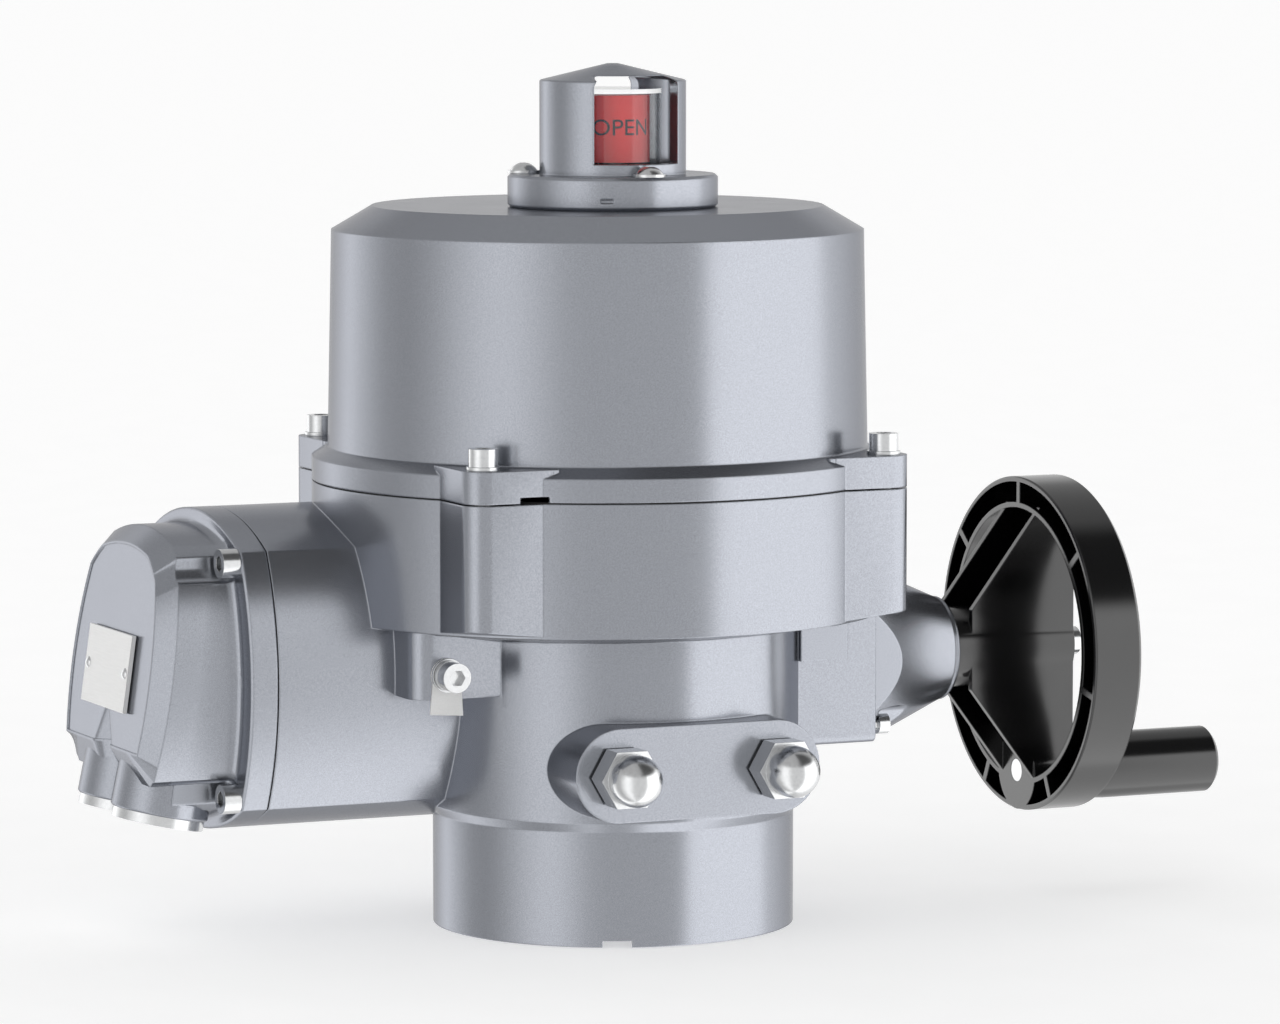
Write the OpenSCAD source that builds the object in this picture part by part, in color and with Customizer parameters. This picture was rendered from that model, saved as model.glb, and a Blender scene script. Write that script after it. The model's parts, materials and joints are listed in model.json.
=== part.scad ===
/* [Valve flange] */
// Diameter of the round foot that stands on the valve
base_d = 125; // [123:1:127]
// Height of the foot below the neck
base_h = 39; // [36:1:41]
// Bolt circle of the four valve bolts
bolt_circle_d = 102; // [100:1:103]
// Diameter of each threaded valve bolt hole
bolt_hole_d = 10; // [8:0.5:11]
// Depth of each valve bolt hole
bolt_hole_depth = 22; // [16:1:28]
// Diameter of the centring recess under the foot
spigot_d = 70; // [66:1:72]
// Depth of the centring recess
spigot_depth = 3.5; // [3:0.5:4]
// Square of the valve stem that the drive sleeve takes
stem_square = 22; // [17:1:24]

/* [Lower housing] */
// Diameter of the neck between foot and bowl
neck_d = 130; // [128:1:132]
// Diameter of the bowl that the cover closes
bowl_d = 198.3; // [196:0.1:200]
// Distance of the bowl's centre behind the output axis
bowl_y = 13; // [12:0.5:14]
// Height of the underside of the bowl
bowl_z = 107.6; // [107:0.1:109]
// Height of the joint between lower housing and cover
split_z = 153; // [152:0.2:155]
// Side of the square on which the four cover screws stand
ear_pitch = 148; // [146:1:149]
// Corner radius of the screw ears
ear_r = 8; // [7:0.5:8.5]
// Thickness of the cast walls
wall = 5; // [4:0.5:5.5]

/* [Cover] */
// Height of the cover's straight bottom ring
cover_ring_h = 8.1; // [7.5:0.1:8.5]
// Height of the cover's ears
cover_ear_h = 11.2; // [10.5:0.1:12]
// Diameter of the cover wall at its foot
cover_foot_d = 187.2; // [185:0.2:188]
// Diameter of the cover wall at its shoulder
cover_shoulder_d = 184.2; // [182:0.2:185]
// Diameter of the cover's flat top
cover_top_d = 156.4; // [150:0.2:160]
// Height of the cover wall from the joint to the shoulder
cover_wall_h = 86.2; // [84:0.1:90]
// Height of the bevel round the cover's top
cover_bevel_h = 8.2; // [7:0.1:9]

/* [Position indicator] */
// Diameter of the indicator's flange
ind_flange_d = 72.4; // [71:0.2:74]
// Height of the indicator's flange
ind_flange_h = 11.3; // [10:0.1:12]
// Diameter of the indicator's hood
hood_d = 50.4; // [49:0.2:51]
// Height of the hood from flange to shoulder
hood_h = 32.3; // [31:0.1:33]
// Rise of the hood's conical roof
hood_roof_h = 5.5; // [4:0.5:6]
// Width of the window through the hood
window_w = 31.2; // [28:0.2:32]
// Diameter of the glass
glass_d = 33.6; // [32:0.2:35]
// Diameter of the indicator drum
drum_d = 25.4; // [24:0.2:26]
// Distance of the hood screws from the axis
ind_screw_r = 30.8; // [30.5:0.1:31]

/* [Terminal box] */
// Distance from the output axis to the terminal cover's joint
box_reach = 129.7; // [128:0.1:132]
// Distance of the terminal box's centre behind the output axis
box_y = 40; // [38:0.5:42]
// Height of the terminal box's centre
box_z = 90.2; // [89:0.1:92]
// Height of the terminal box
box_h = 109.9; // [108:0.1:112]
// Width of the terminal box
box_w = 111.7; // [110:0.1:114]
// Radius of the arched top and bottom
box_arch_r = 95.8; // [92:0.2:99]
// Radius of the bulging sides
box_side_r = 91.8; // [88:0.2:95]
// Thickness of the terminal cover's flange
box_flange_t = 9.7; // [9:0.1:10]
// Distance from flange face to end panel at the box's centre height
box_cover_depth = 30.5; // [28:0.1:32]
// Lean of the end panel from upright
panel_lean = 8; // [7:0.5:9]
// Distance of the terminal cover screws from the box's side
box_screw_side = 14.65; // [14:0.05:15.5]
// Distance of the terminal cover screws from the box's top and bottom
box_screw_end = 14.95; // [14:0.05:15.5]
// Distance between the two conduit entries
conduit_pitch = 34; // [33:0.2:35]
// Diameter of each conduit boss
conduit_d = 33.5; // [31:0.5:33.5]
// Bore of each conduit entry
conduit_bore_d = 25; // [20:0.5:26]
// Lean of the conduit entries from upright
conduit_lean = 12; // [11:0.5:13]

/* [Hand drive] */
// Height of the hand shaft above the foot
hand_z = 88.5; // [88:0.1:89]
// Distance from the output axis to the face of the hand drive block
block_reach = 83.2; // [83:0.1:85]
// Distance from the output axis to the front of the block
block_front = 37; // [36:0.5:38]
// Distance from the output axis to the back of the block
block_back = 68; // [67.5:0.5:70]
// Height of the hand drive block
block_h = 54; // [53.5:0.5:55]
// Diameter of the hand shaft
hand_shaft_d = 12; // [10:0.5:13]
// Length of the bonnet from the block's face
bonnet_l = 43.3; // [42:0.1:44]
// Side of the bonnet's square part
bonnet_square = 47; // [46:0.5:48]
// Diameter of the bonnet's nose
bonnet_nose_d = 34; // [33:0.5:35]

/* [Handwheel] */
// Outer diameter of the handwheel
wheel_d = 119; // [115:1:125]
// Inner diameter of the handwheel's rim
wheel_inner_d = 97; // [95:1:99]
// Axial width of the rim
wheel_w = 18.6; // [17:0.2:20]
// Distance from the output axis to the rim's near side
wheel_x = 157.5; // [156:0.5:160]
// Thickness of the rim's walls
rim_wall = 1.8; // [1.5:0.1:2.2]
// Number of ribs in the rim
rim_ribs = 7; // [5:1:9]
// Width of the two-armed spoke
spoke_w = 26; // [24:0.5:27]
// Diameter of the hub's collar
hub_d = 28.6; // [28:0.2:30]
// Distance of the crank handle from the wheel's axis
handle_r = 45.6; // [44:0.2:46]
// Diameter of the crank handle
handle_d = 23.7; // [22:0.1:25]
// Length of the crank handle
handle_l = 57.6; // [50:0.2:60]

/* [Travel stops] */
// Height of the two stop screws
stop_z = 60.5; // [60:0.1:61]
// Distance between the two stop screws
stop_pitch = 58; // [57:0.5:59]
// Diameter of the stop screws
stop_screw_d = 12; // [10:0.5:12]
// Distance from the output axis to the boss that carries them
stop_boss_reach = 71.5; // [71:0.5:73]
// Height of that boss
stop_boss_h = 32; // [31:0.5:33]

/* [Earth terminal] */
// Distance from the output axis to the front of the earth boss
earth_face_y = 33; // [31:0.5:35]
// Left end of the earth boss
earth_x = -87.5; // [-88:0.5:-86]
// Width of the earth boss
earth_w = 33; // [31:0.5:34]
// Height of the earth boss's underside
earth_z = 84.3; // [83:0.1:86]

/* [Gear train] */
// Module of all the gears
gear_module = 2; // [2:0.5:2]
// Teeth of the worm wheel
wheel_teeth = 32; // [32:1:32]
// Pitch diameter of the worm
worm_pitch_d = 16; // [16:1:16]
// Teeth of the hand gear and of the worm shaft's gear
shaft_gear_teeth = 20; // [20:1:20]
// Teeth of the idler
idler_teeth = 16; // [16:1:16]
// Teeth of the motor pinion
pinion_teeth = 10; // [10:1:10]
// Face width of the spur gears
gear_w = 8; // [7:0.5:9]
// Face width of the worm wheel
worm_wheel_w = 12; // [11:0.5:13]
// Height of the motor's axis
motor_z = 148; // [147.5:0.25:148.5]
// Diameter of the geared motor
motor_d = 50; // [46:1:51]
// Diameter of the drive sleeve
sleeve_d = 44; // [42:1:46]

/* [Hidden] */
$fn = 96;
hull_fn = 32;
arc_fn = 160;
eps = 0.01;
seat_gap = 0.3;
run_gap = 0.05;
thread_gap = 0.05;
seal_t = 0.5;
paint = [0.60, 0.61, 0.64];
steel = [0.80, 0.80, 0.79];
dark_steel = [0.45, 0.46, 0.48];
bronze = [0.72, 0.52, 0.28];
black_plastic = [0.06, 0.06, 0.06];

// Cast shell
cone_z = bowl_z - 8;
cone_r = neck_d / 2 - bowl_y;
cone_slope = (bowl_z - cone_z) / (bowl_d / 2 - cone_r);
neck_chamfer = 3.5;
neck_end_z = bowl_z + 1;
floor_z = base_h + 6;
neck_wall = wall + 3;
neck_in_r = neck_d / 2 - neck_wall;
bowl_floor_z = bowl_z + 3;
bowl_in_r = bowl_d / 2 - wall;
housing_top_z = split_z - seal_t / 2;
cover_z = split_z + seal_t / 2;
ear_xy = ear_pitch / 2;
ear_out = ear_xy + ear_r;
ear_root = ear_xy - 22;
m6_d = 6;
m6_head_d = 10;
m6_hex = 5;
m6_washer_d = 11.5;
m6_washer_t = 1.2;
notch_w = 10;
notch_h = 2.2;
notch_turn = 22.5;
pocket_x = neck_d / 2 + 6;
box_back = bowl_in_r + wall;
earth_round = 7;
earth_screw_x = -75.8;
earth_screw_z = 92.6;
tag_t = 0.5;
earth_washer_t = 1.2;

// Cover and indicator
cover_shoulder_z = split_z + cover_wall_h;
cover_top_z = cover_shoulder_z + cover_bevel_h;
cover_ring_z = split_z + cover_ring_h;
cover_ear_z = split_z + cover_ear_h;
cover_ring_d = bowl_d;
ind_flange_z = cover_top_z + ind_flange_h;
hood_shoulder_z = ind_flange_z + hood_h;
hood_top_z = hood_shoulder_z + hood_roof_h;
hood_in_r = 20.4;
glass_t = 1.6;
glass_seat = 1;
glass_z = ind_flange_z - glass_seat;
glass_top_z = hood_shoulder_z - 3;
window_z = ind_flange_z + 3.9;
drum_z = window_z + 0.3;
drum_top_z = glass_top_z - glass_t - 0.6;
ind_shaft_d = 10;
m5_d = 5;
m5_head_d = 9.5;
m5_head_h = 2.75;
m5_washer_d = 11;
m5_washer_t = 1;
m5_hex = 3;
bush_r = ind_shaft_d / 2 + 3;
board_z = cover_ear_z + 50;
board_r = 86;
standoff_r = 81;
cam_z = cover_ear_z + 20;
cam_h = 7;
cam_pitch = 9;

// Output shaft
worm_c = gear_module * wheel_teeth / 2 + worm_pitch_d / 2;
sleeve_r = sleeve_d / 2;
sleeve_z = spigot_depth + 1;
bush_t = 4;
bush_z = 8;
stop_plate_t = 12;
stop_plate_z = stop_z - stop_plate_t / 2;
wheel_z = hand_z - worm_wheel_w / 2;
sleeve_top_z = wheel_z + worm_wheel_w;
collar_r = sleeve_r + 4;
journal_r = 15;
plate_z = bowl_floor_z;
plate_t = 6;
plate_r = neck_in_r + 13;
plate_screw_r = neck_in_r + 6;
sleeve_end_z = plate_z + plate_t;
stop_x = stop_pitch / 2;
stop_face_y = sleeve_r + 3;
stop_tip_y = stop_face_y + seat_gap;

// Worm shaft, hand shaft and motor
bearing_od = 26;
bearing_id = 10;
bearing_w = 8;
bearing_x = 27;
worm_core_r = worm_pitch_d / 2 - 1.25 * gear_module;
worm_l = 28;
chamber_x = 60;
chamber_end = block_reach - wall - 3;
gear_x = chamber_x + 3;
shaft_gear_r = gear_module * shaft_gear_teeth / 2;
idler_r = gear_module * idler_teeth / 2;
pinion_r = gear_module * pinion_teeth / 2;
gear_tip_r = shaft_gear_r + gear_module;
motor_y = worm_c;
rise = motor_z - hand_z;
reach_low = shaft_gear_r + idler_r;
reach_high = pinion_r + idler_r;
idler_up = (pow(reach_low, 2) - pow(reach_high, 2) + pow(rise, 2)) / (2 * rise);
idler_in = sqrt(pow(reach_low, 2) - pow(idler_up, 2));
idler_y = worm_c - idler_in;
idler_z = hand_z + idler_up;
idler_pin_d = 8;
motor_shaft_d = 8;
motor_front_x = gear_x - 10;
motor_l = 98;
bracket_t = 4;
switch_y = 32;
gearhead_l = 26;

// Bonnet and handwheel
bonnet_flange_t = 6;
bonnet_flange_y = 60;
bonnet_flange_z = 53;
bonnet_spigot_d = 40;
bonnet_square_x = 13.5;
bonnet_screw_y = 25;
bonnet_screw_z = 22.3;
m4_d = 4;
m4_head_d = 7;
m4_hex = 3;
bonnet_pilot_d = 36;
recess_w = bonnet_flange_y + 4;
recess_top_z = hand_z + bonnet_flange_z / 2 + 1.5;
wheel_end_x = wheel_x + wheel_w;
bonnet_end_x = block_reach + bonnet_l;
hub_x = bonnet_end_x + seat_gap;
hub_end_x = wheel_end_x - 3;
shaft_square = 9;
spoke_t = 2.5;
boss_r = 13.9;
spindle_d = 8;
handle_z = hand_z - handle_r;

// Terminal cover
panel_x = -box_reach - box_flange_t - box_cover_depth;
box_screw_y = box_w / 2 - box_screw_side;
box_screw_z = box_h / 2 - box_screw_end;
conduit_rise = 8.05;
conduit_drop = box_h / 2 - conduit_rise;
conduit_z = box_z - conduit_drop;
conduit_x = panel_x - conduit_drop * tan(panel_lean) + conduit_d / 2 + 1;
body_side_in = 10.2;
body_top_in = 5.1;
panel_side_in = 16.3;
panel_top_in = 10.7;
bevel_depth = 6;
plate_w = 42.8;
plate_h = 26.5;
nameplate_t = 1.5;
nameplate_up = 1.3;
box_boss_r = 7.5;

// Cap nuts
nut_af = 19;
nut_hex_h = 9;
nut_dome_d = 17.6;
nut_h = 21.5;
stop_washer_t = 1.2;

// Tooth form
pressure = 25;
backlash = 0.3;
tooth_add = 0.8;
tooth_ded = 1.1;
worm_turn_per_tooth = 360 / wheel_teeth;
lead_slope = gear_module / worm_pitch_d;

// Places that repeat
module at_ears() {
    for (x = [-1, 1], y = [-1, 1])
        translate([x * ear_xy, y * ear_xy + bowl_y, 0]) children();
}

module at_hood_screws() {
    for (turn = [-90, 30, 150])
        rotate([0, 0, turn]) translate([ind_screw_r, 0, 0]) children();
}

module at_box_screws() {
    for (y = [-1, 1], z = [-1, 1])
        translate([-box_reach - box_flange_t, box_y + y * box_screw_y, box_z + z * box_screw_z])
            rotate([0, -90, 0]) children();
}

module at_bonnet_screws() {
    for (y = [-1, 1], z = [-1, 1])
        translate([block_reach + bonnet_flange_t, y * bonnet_screw_y, hand_z + z * bonnet_screw_z])
            rotate([0, 90, 0]) children();
}

module at_stops() {
    for (side = [-1, 1])
        translate([side * stop_x, -stop_boss_reach, stop_z]) rotate([90, 0, 0]) children();
}

module at_conduits() {
    for (side = [-1, 1])
        translate([conduit_x, box_y + side * conduit_pitch / 2, conduit_z])
            rotate([0, conduit_lean, 0]) children();
}

module at_plate_screws() {
    for (turn = [135 : 90 : 315])
        rotate([0, 0, turn]) translate([plate_screw_r, 0, plate_z + plate_t]) children();
}

module at_bracket_screws() {
    for (place = [[44, 11], [44, 24], [-4, -41], [8, -41]])
        translate([place[0], place[1], plate_z + plate_t + bracket_t]) children();
}

module at_standoffs() {
    for (turn = [120 : 60 : 300])
        translate([0, bowl_y, 0]) rotate([0, 0, turn]) translate([standoff_r, 0, 0]) children();
}

// Turns a flat drawing of Y and Z into a slab along X
module along_x(x, length) {
    translate([x, 0, 0]) rotate([90, 0, 90]) linear_extrude(length) children();
}

// Socket head screw with its head standing on the ground plane and its shank below
module socket_screw(d, head_d, hex, length) {
    difference() {
        union() {
            cylinder(d = head_d, h = d);
            translate([0, 0, -length]) cylinder(d = d, h = length + eps);
        }
        translate([0, 0, d / 2]) cylinder(d = hex / cos(30), h = d, $fn = 6);
    }
}

// Low round head screw
module button_screw(d, head_d, head_h, hex, length) {
    ball_r = (pow(head_d / 2, 2) + pow(head_h, 2)) / (2 * head_h);
    difference() {
        union() {
            intersection() {
                translate([0, 0, head_h - ball_r]) sphere(r = ball_r);
                cylinder(d = head_d, h = head_h + 1);
            }
            translate([0, 0, -length]) cylinder(d = d, h = length + 0.2);
        }
        translate([0, 0, head_h / 2]) cylinder(d = hex / cos(30), h = head_h, $fn = 6);
    }
}

module washer(inner_d, outer_d, t) {
    difference() {
        cylinder(d = outer_d, h = t);
        translate([0, 0, -eps]) cylinder(d = inner_d, h = t + 2 * eps);
    }
}

// Involute tooth half angle at a radius
function inv(base_r, r) = sqrt(pow(r / base_r, 2) - 1) * 180 / PI - acos(base_r / r);
function half_tooth(teeth, r) =
    let (pitch_r = gear_module * teeth / 2, base_r = pitch_r * cos(pressure), use_r = max(r, base_r))
    90 / teeth - backlash / 2 / pitch_r * 90 / PI + inv(base_r, pitch_r) - inv(base_r, use_r);

// Gear outline with one tooth centred on the angle phase
module gear_outline(teeth, phase) {
    pitch_r = gear_module * teeth / 2;
    root_r = pitch_r - tooth_ded * gear_module;
    tip_r = pitch_r + tooth_add * gear_module;
    steps = 5;
    radii = [for (i = [0 : steps]) root_r + (tip_r - root_r) * i / steps];
    flank = [for (r = radii) [r, half_tooth(teeth, r)]];
    polygon([for (i = [0 : teeth - 1], j = [0 : 2 * steps + 1])
        let (rising = j <= steps, p = flank[rising ? j : 2 * steps + 1 - j],
             a = phase + 360 / teeth * i + (rising ? -p[1] : p[1]))
        p[0] * [cos(a), sin(a)]]);
}

// Phase of a gear that meshes with another one lying at the angle dir from it
function mesh_phase(phase, teeth, dir, other_teeth) =
    dir + 180 - ((phase - dir) * teeth + 180) / other_teeth;

worm_gear_phase = 0;
hand_gear_phase = mesh_phase(worm_gear_phase, shaft_gear_teeth, 180, shaft_gear_teeth);
idler_dir = atan2(idler_up, -idler_in);
idler_phase = mesh_phase(worm_gear_phase, shaft_gear_teeth, idler_dir, idler_teeth);
pinion_dir = atan2(rise - idler_up, idler_in);
pinion_phase = mesh_phase(idler_phase, idler_teeth, pinion_dir, pinion_teeth);

module spur_gear(y, z, teeth, phase, bore_d) {
    difference() {
        union() {
            translate([0, y, z]) along_x(gear_x, gear_w) gear_outline(teeth, phase);
            translate([gear_x + gear_w - eps, y, z]) rotate([0, 90, 0])
                cylinder(d = bore_d + 7, h = 3);
        }
        translate([gear_x - 1, y, z]) rotate([0, 90, 0]) cylinder(d = bore_d, h = gear_w + 6);
    }
}

// Section of the terminal box, drawn in Y and Z round its own centre
module box_outline(side_in, top_in) {
    half_w = box_w / 2 - side_in;
    half_h = box_h / 2 - top_in;
    corner_r = sqrt(pow(half_w, 2) + pow(half_h, 2)) * 0.8;
    intersection() {
        translate([0, half_h - box_arch_r]) circle(r = box_arch_r, $fn = arc_fn);
        translate([0, box_arch_r - half_h]) circle(r = box_arch_r, $fn = arc_fn);
        translate([half_w - box_side_r, 0]) circle(r = box_side_r, $fn = arc_fn);
        translate([box_side_r - half_w, 0]) circle(r = box_side_r, $fn = arc_fn);
        circle(r = corner_r, $fn = arc_fn);
    }
}

// The same section inside the wall, with a boss left standing round each screw
module box_hollow() {
    difference() {
        box_outline(wall, wall);
        for (y = [-1, 1], z = [-1, 1])
            translate([y * box_screw_y, z * box_screw_z]) circle(r = box_boss_r);
    }
}

// Slab along X of the terminal box
module along_box(x, length) {
    translate([0, box_y, box_z]) along_x(x, length) children();
}

// Four square ears with a rounded outer corner, each rooted inside the bowl
module ears(z, h) {
    for (x = [-1, 1], y = [-1, 1])
        translate([0, bowl_y, z]) {
            translate([x * ear_xy, y * ear_xy, 0]) cylinder(r = ear_r, h = h);
            translate([x > 0 ? ear_root : -ear_xy, y > 0 ? ear_root : -ear_out, 0])
                cube([ear_xy - ear_root, ear_out - ear_root, h]);
            translate([x > 0 ? ear_root : -ear_out, y > 0 ? ear_root : -ear_xy, 0])
                cube([ear_out - ear_root, ear_xy - ear_root, h]);
        }
}

module lower_housing() {
    color(paint) difference() {
        union() {
            difference() {
                housing_outside();
                housing_hollow();
            }
            worm_bosses();
        }
        housing_bores();
    }
}

module housing_outside() {
    foot_r = base_d / 2;
    neck_r = neck_d / 2;
    bowl_r = bowl_d / 2;
    rotate_extrude() polygon([
        [0, 0], [foot_r, 0], [foot_r, base_h], [neck_r, base_h + neck_chamfer],
        [neck_r, neck_end_z], [0, neck_end_z]]);
    translate([0, bowl_y, 0]) rotate_extrude() polygon([
        [0, cone_z], [cone_r, cone_z], [bowl_r, bowl_z], [bowl_r, housing_top_z], [0, housing_top_z]]);
    // Ears whose underside rises outwards a little above the bowl's
    ear_rise = 0.8;
    difference() {
        ears(bowl_z - 1, housing_top_z - bowl_z + 1);
        translate([0, bowl_y, 0]) rotate_extrude() polygon([
            [bowl_r - 4, bowl_z - 4], [2 * bowl_r, bowl_z - 4],
            [2 * bowl_r, bowl_z + ear_rise + bowl_r * cone_slope],
            [bowl_r - 4, bowl_z + ear_rise - 4 * cone_slope]]);
    }
    worm_case();
    stop_boss();
    earth_boss();
    hand_block();
}

// Case of the worm, which ends to the left as the terminal box
module worm_case() {
    case_end = 52;
    case_round = 90;
    start_x = -box_reach + seal_t / 2;
    intersection() {
        along_box(start_x, case_end - start_x) box_outline(0, 0);
        union() {
            translate([start_x - 1, -box_w, 0]) cube([-start_x + 21, 3 * box_w, split_z]);
            translate([0, bowl_y, 0]) cylinder(r = case_round, h = split_z);
        }
    }
}

module stop_boss() {
    boss_r = stop_boss_h / 2;
    for (side = [-1, 1])
        translate([side * stop_x, 0, stop_z]) rotate([90, 0, 0])
            cylinder(r = boss_r, h = stop_boss_reach);
    translate([-stop_x, -stop_boss_reach, stop_z - boss_r])
        cube([stop_pitch, stop_boss_reach, stop_boss_h]);
}

module earth_boss() {
    h = neck_end_z - earth_z;
    depth = 30;
    translate([earth_x + earth_round, -earth_face_y, earth_z])
        cube([earth_w - earth_round, depth, h]);
    translate([earth_x, earth_round - earth_face_y, earth_z]) cube([earth_w, depth - earth_round, h]);
    translate([earth_x + earth_round, earth_round - earth_face_y, earth_z])
        cylinder(r = earth_round, h = h);
}

module hand_block() {
    edge_r = 3;
    low_z = hand_z - block_h / 2;
    ledge_x = 53;
    ledge_z = 91.5;
    // The block with its lower long edges rounded
    translate([0, edge_r - block_front, low_z])
        cube([block_reach, block_back + block_front - 2 * edge_r, block_h]);
    translate([0, -block_front, low_z + edge_r])
        cube([block_reach, block_back + block_front, block_h - edge_r]);
    for (y = [edge_r - block_front, block_back - edge_r])
        translate([0, y, low_z + edge_r]) rotate([0, 90, 0]) cylinder(r = edge_r, h = block_reach);
    // Ledge that stiffens the block under the bowl
    translate([ledge_x, -block_front - 3, ledge_z]) cube([18, 10, neck_end_z - ledge_z]);
}

module housing_hollow() {
    translate([0, 0, floor_z]) cylinder(r = neck_in_r, h = bowl_floor_z - floor_z + 1);
    difference() {
        translate([0, bowl_y, bowl_floor_z])
            cylinder(r = bowl_in_r, h = housing_top_z - bowl_floor_z + 1);
        // Wall behind the bonnet's recess
        translate([chamber_end, -recess_w / 2 - wall, bowl_floor_z - 1])
            cube([bowl_d, recess_w + 2 * wall, recess_top_z + wall - bowl_floor_z + 1]);
    }
    // Gear chamber in the hand drive block, open to the bowl above
    translate([chamber_x, -gear_tip_r - 2, hand_z - gear_tip_r - 1.5])
        cube([chamber_end - chamber_x, worm_c + 2 * gear_tip_r + 4, bowl_floor_z - hand_z + 27]);
    // Lightening pocket behind the worm, open to the bowl above
    translate([-56, neck_in_r + 5, floor_z + 14]) cube([96, 22, bowl_floor_z - floor_z]);
    // Terminal space, with a second pocket under the bowl
    along_box(-box_reach - 1, box_reach + 1 - box_back) box_hollow();
    intersection() {
        along_box(-box_back - 1, box_back + 1 - pocket_x) box_hollow();
        translate([-box_back - 2, box_y - box_w / 2, 0]) cube([box_back, box_w, cone_z - 2]);
    }
    // Cable passage from the terminal space into the bowl
    translate([-box_back - 1, box_y - 8, bowl_floor_z + 15]) rotate([0, 90, 0])
        cylinder(d = 18, h = 16);
}

// Bearing bosses of the worm shaft, left and right of the worm
module worm_bosses() {
    boss_r = bearing_od / 2 + 2.5;
    intersection() {
        translate([-chamber_x, worm_c, hand_z]) rotate([0, 90, 0])
            cylinder(r = boss_r, h = 2 * chamber_x);
        translate([0, 0, floor_z]) cylinder(r = neck_in_r + 2, h = cone_z - floor_z);
        union() {
            translate([bearing_x, 0, 0]) cube([chamber_x - bearing_x, neck_d, bowl_z]);
            translate([-chamber_x, 0, 0]) cube([chamber_x - bearing_x, neck_d, bowl_z]);
        }
    }
}

module housing_bores() {
    // Centring recess, sleeve bore and bush seat
    translate([0, 0, -eps]) cylinder(d = spigot_d, h = spigot_depth + eps);
    translate([0, 0, spigot_depth - eps]) cylinder(r = sleeve_r + 1, h = bush_z);
    translate([0, 0, bush_z]) cylinder(r = sleeve_r + bush_t, h = floor_z - bush_z + 1);
    for (turn = [45 : 90 : 315])
        rotate([0, 0, turn]) translate([bolt_circle_d / 2, 0, -eps])
            cylinder(d = bolt_hole_d, h = bolt_hole_depth);
    // Notch in the foot's rim
    rotate([0, 0, -90 - notch_turn]) translate([spigot_d / 2 + 3, -notch_w / 2, -eps])
        cube([base_d, notch_w, notch_h]);
    at_stops() translate([0, 0, -40]) cylinder(d = stop_screw_d + 2 * thread_gap, h = 45);
    at_ears() translate([0, 0, housing_top_z - 20]) cylinder(d = m6_d + 2 * thread_gap, h = 21);
    at_box_screws() translate([0, 0, -box_flange_t - 16])
        cylinder(d = m6_d + 2 * thread_gap, h = 17);
    at_bonnet_screws() translate([0, 0, -bonnet_flange_t - 12])
        cylinder(d = m4_d + 2 * thread_gap, h = 13);
    at_plate_screws() translate([0, 0, -plate_t - 7])
        cylinder(d = m5_d + 2 * thread_gap, h = 8);
    translate([earth_screw_x, -earth_face_y - 1, earth_screw_z]) rotate([-90, 0, 0])
        cylinder(d = m6_d + 2 * thread_gap, h = 15);
    // Worm shaft bearings and passage to the gear chamber
    translate([bearing_x - 1, worm_c, hand_z]) rotate([0, 90, 0])
        cylinder(d = bearing_od, h = chamber_x - bearing_x + 2);
    translate([-bearing_x - bearing_w, worm_c, hand_z]) rotate([0, 90, 0])
        cylinder(d = bearing_od, h = bearing_w + 1);
    // Recess in the bowl's side that takes the bonnet's flange
    translate([block_reach, -recess_w / 2, hand_z]) cube([bowl_d, recess_w, recess_top_z - hand_z]);
    // Opening for the bonnet's spigot
    translate([chamber_end - 1, 0, hand_z]) rotate([0, 90, 0])
        cylinder(d = bonnet_pilot_d + 2 * run_gap, h = block_reach - chamber_end + 2);
}

module housing_seal() {
    color("black") translate([0, bowl_y, housing_top_z]) difference() {
        cylinder(d = bowl_d - 1.4, h = seal_t);
        translate([0, 0, -1]) cylinder(r = bowl_in_r, h = 3);
    }
}

module cover() {
    foot_z = cover_ring_z + 3.5;
    pry_w = 13;
    pry_h = 2;
    color(paint) difference() {
        union() {
            translate([0, bowl_y, 0]) rotate_extrude() polygon([
                [0, cover_z], [cover_ring_d / 2, cover_z], [cover_ring_d / 2, cover_ring_z],
                [cover_foot_d / 2, foot_z], [cover_shoulder_d / 2, cover_shoulder_z],
                [cover_top_d / 2, cover_top_z], [0, cover_top_z]]);
            ears(cover_z, cover_ear_z - cover_z);
        }
        translate([0, bowl_y, 0]) rotate_extrude() polygon([
            [0, cover_z - 1], [bowl_in_r, cover_z - 1], [bowl_in_r, cover_ring_z - wall / 2],
            [cover_foot_d / 2 - wall, cover_ring_z + 1],
            [cover_shoulder_d / 2 - wall, cover_shoulder_z - 1],
            [cover_top_d / 2 - wall, cover_top_z - wall], [0, cover_top_z - wall]]);
        at_ears() translate([0, 0, cover_z - 1])
            cylinder(d = m6_d + 0.6, h = cover_ear_h + 2);
        at_hood_screws() translate([0, 0, cover_top_z - 20])
            cylinder(d = m5_d + 2 * thread_gap, h = 21);
        translate([0, 0, cover_top_z - wall - 1]) cylinder(r = bush_r, h = wall + 2);
        // Pry slot under the front left ear
        translate([-ear_xy + ear_r + 2, bowl_y - ear_out - 1, cover_z - 1])
            cube([pry_w, 10, pry_h + 1]);
    }
}

module cover_screws() {
    color(steel) at_ears() translate([0, 0, cover_ear_z + m6_washer_t])
        socket_screw(m6_d, m6_head_d, m6_hex, 25);
}

module cover_washers() {
    color(steel) at_ears() translate([0, 0, cover_ear_z])
        washer(m6_d + 0.4, m6_washer_d, m6_washer_t);
}

module indicator_bush() {
    color(bronze) translate([0, 0, cover_top_z - wall - 4]) difference() {
        union() {
            cylinder(r = bush_r + 3, h = 4);
            cylinder(r = bush_r, h = wall + 5);
        }
        translate([0, 0, -1]) cylinder(r = ind_shaft_d / 2 + run_gap, h = wall + 8);
    }
}

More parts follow.
